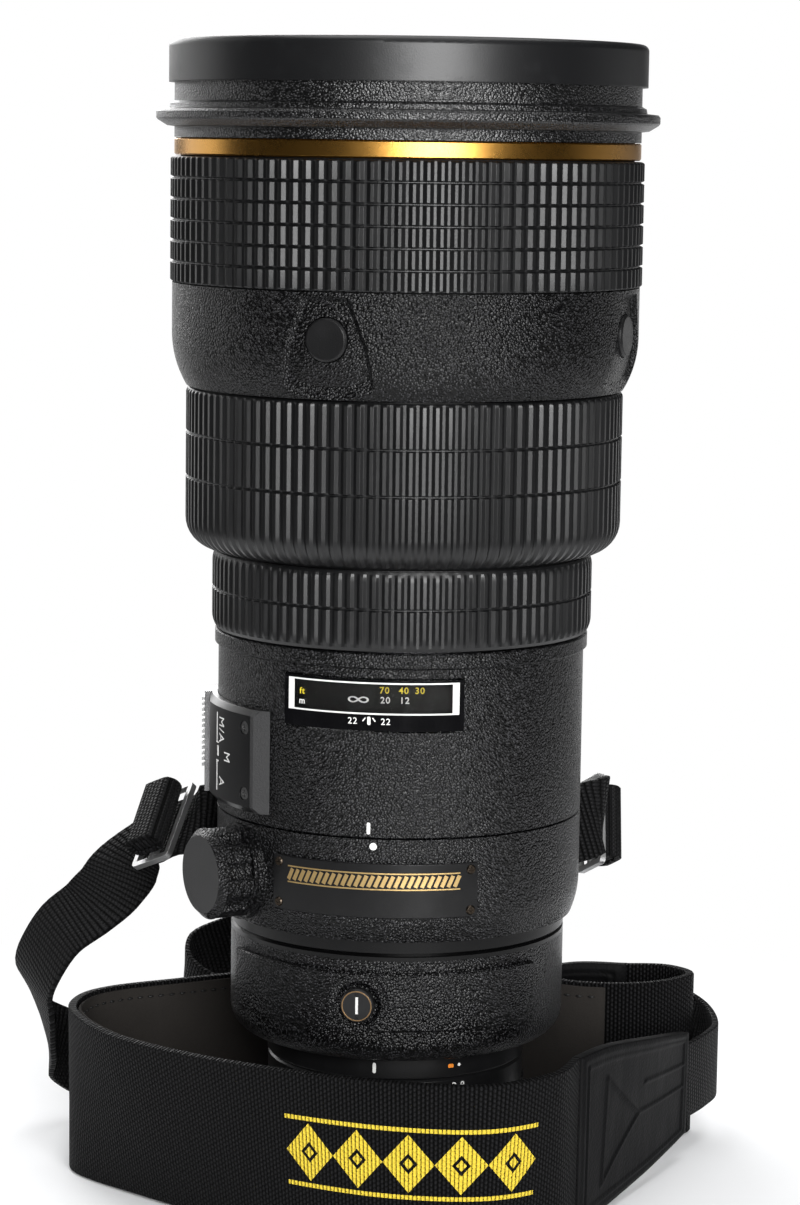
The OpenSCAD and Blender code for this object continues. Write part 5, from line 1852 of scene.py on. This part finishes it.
        mesh = strip.sheet(self.band_w, self.patch_t - self.patch_spare, -self.lap, step=self.patch_face,
                           columns=self.patch_columns, edge=self.patch_edge, relief=relief)
        leather = add_piece(name + "_leather", mesh, [Finishes.LEATHER], Body.COLLAR, "strap_patch", [name])
        seam = Stitching(strip)
        for face in (-1, 1):
            for first, last in lines:
                seam.row(first, last, face * (self.patch_t / 2 - self.patch_sunk))
        return [leather, seam.piece(name + "_stitches", "strap_patch")]

    @staticmethod
    def _distance(spot: Vector, first: Vector, last: Vector) -> float:
        """Measures the distance from a spot to a line.

        Args:
            spot: the spot.
            first: where the line starts.
            last: where it ends.

        Returns:
            The distance.
        """
        line = last - first
        share = max(0.0, min(1.0, (spot - first).dot(line) / line.length_squared))
        return (spot - first - line * share).length


@dataclass(frozen=True)
class Lamp:
    """A softbox: its place and the point that it faces in metres, its size, and its power in watts."""

    name: str
    place: tuple[float, float, float]
    aim: tuple[float, float, float]
    size: tuple[float, float]
    power: float

    def build(self) -> None:
        """Hangs the softbox."""
        data = bpy.data.lights.new(self.name, "AREA")
        data.shape = "RECTANGLE"
        data.size, data.size_y = self.size
        data.energy = self.power
        lamp = stand(self.name, data)
        lamp.location = self.place
        lamp.rotation_euler = (Vector(self.aim) - Vector(self.place)).to_track_quat("-Z", "Y").to_euler()


@dataclass
class Studio:
    """Camera, lamps and floor, in metres and degrees."""

    eye: tuple[float, float, float] = (0.11825, -0.8397, 0.264)
    turn: float = 8.042
    pitch: float = -7.746
    roll: float = 0.8
    focal: float = 101.6
    sensor: float = 36
    clip: tuple[float, float] = (0.01, 50)
    floor_half: float = 6.0
    floor_drop: float = 0.0002
    white_edge: tuple[float, float] = (0.09, 0.28)
    dark_edge: tuple[float, float] = (0.24, 0.5)
    mirror_edge: tuple[float, float] = (0.4, 0.9)
    backdrop: tuple[float, float, float] = (-0.14, 0.99, 0)
    backdrop_edge: tuple[float, float] = (0.92, 0.985)
    fill: float = 0.22
    dim: float = 0.03
    pale: Colour = (0.92, 0.925, 0.935)
    dark: Colour = (0.03, 0.03, 0.03)
    white: Colour = (1, 1, 1)
    lamps: tuple[Lamp, ...] = (
        Lamp("key_softbox", (0.54, -1.46, 0.52), aim=(0, 0, 0.2), size=(0.85, 0.75), power=34),
        Lamp("left_strip", (-1.2, 0.45, 0.5), aim=(0, 0, 0.18), size=(0.9, 1.2), power=3.5),
        Lamp("top_softbox", (0, 0.2, 1.7), aim=(0, 0, 0), size=(1.5, 1.5), power=20),
        Lamp("back_softbox", (-0.75, 1.4, 0.75), aim=(0, 0, 0.14), size=(1.1, 0.8), power=15))

    def build(self) -> None:
        """Makes the whole stage."""
        self._camera()
        self._world()
        self._floor()
        for lamp in self.lamps:
            lamp.build()

    def _camera(self) -> None:
        """Sets the camera where the photograph was taken from."""
        data = bpy.data.cameras.new("camera")
        data.lens = self.focal
        data.sensor_width = self.sensor
        data.clip_start, data.clip_end = self.clip
        camera = stand("camera", data)
        turned = (Matrix.Rotation(math.radians(self.turn), 4, "Z")
                  @ Matrix.Rotation(math.radians(90 + self.pitch), 4, "X")
                  @ Matrix.Rotation(math.radians(self.roll), 4, "Z"))
        camera.matrix_world = Matrix.Translation(self.eye) @ turned
        bpy.context.scene.camera = camera

    def _world(self) -> None:
        """Fills the scene softly, and stands a white backdrop behind the lens."""
        graph = Graph(bpy.data.worlds.new("studio"), "ShaderNodeOutputWorld")
        camera, mirrored = graph.rays()
        way = graph.node("ShaderNodeTexCoord", output="Generated")
        behind = graph.node("ShaderNodeVectorMath", {"operation": "DOT_PRODUCT"},
                            {0: way, 1: self.backdrop}, "Value")
        backdrop = mirrored * (behind.ease(*self.backdrop_edge) * (1 - self.dim) + self.dim)
        level = camera.math("MAXIMUM", backdrop).math("MAXIMUM", (1 - mirrored) * self.fill)
        back = graph.node("ShaderNodeBackground", inputs={"Color": self.white, "Strength": level})
        bpy.context.scene.world = graph.finish(back)

    def _floor(self) -> None:
        """Lays a pale floor that fades into the white backdrop, in a room that is dark elsewhere."""
        mesh = bmesh.new()
        bmesh.ops.create_grid(mesh, x_segments=1, y_segments=1, size=self.floor_half)
        bmesh.ops.translate(mesh, vec=(0, 0, -self.floor_drop), verts=mesh.verts[:])
        data = bpy.data.meshes.new("floor")
        mesh.to_mesh(data)
        mesh.free()
        graph = Graph(bpy.data.materials.new("pale_floor"))
        x, y, _ = graph.axes(graph.place())
        distance = (x * x + y * y) ** 0.5
        camera, mirrored = graph.rays()
        seen = camera.math("MAXIMUM", mirrored * y.ease(*self.mirror_edge))
        colour = graph.mix(distance.ease(*self.dark_edge), self.pale, self.dark)
        matt = graph.node("ShaderNodeBsdfPrincipled",
                          inputs={"Base Color": colour, "Roughness": 1.0, "Specular IOR Level": 0.0})
        white = graph.node("ShaderNodeEmission", inputs={"Color": self.white, "Strength": 1.0})
        away = distance.ease(*self.white_edge) * seen
        blend = graph.node("ShaderNodeMixShader", inputs={0: away, 1: matt, 2: white})
        data.materials.append(graph.finish(blend))
        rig.stage(stand("floor", data))


def write_size(box: tuple[Vector, Vector]) -> None:
    """Writes the solids' box and the dressed model's box side by side.

    Args:
        box: lowest and highest corner of the solids.
    """
    low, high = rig.bounds()
    sizes = {"cad": [list(box[0]), list(box[1])], "visual": [list(low), list(high)]}
    with open("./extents.json", "w") as out:
        json.dump(sizes, out)


def main() -> None:
    """Builds the stage and dresses the lens, piece by piece."""
    logging.basicConfig(level=logging.INFO, format="%(name)s: %(message)s")
    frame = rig.load()
    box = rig.bounds()
    bpy.context.scene.view_settings.view_transform = "Standard"
    Studio().build()
    Strap().build()
    dress_nodes(frame["nodes"])
    for grip in GRIPS:
        grip.build()
    Scale().build()
    Marks().build()
    Trim().build()
    write_size(box)


if __name__ == "__main__":
    main()
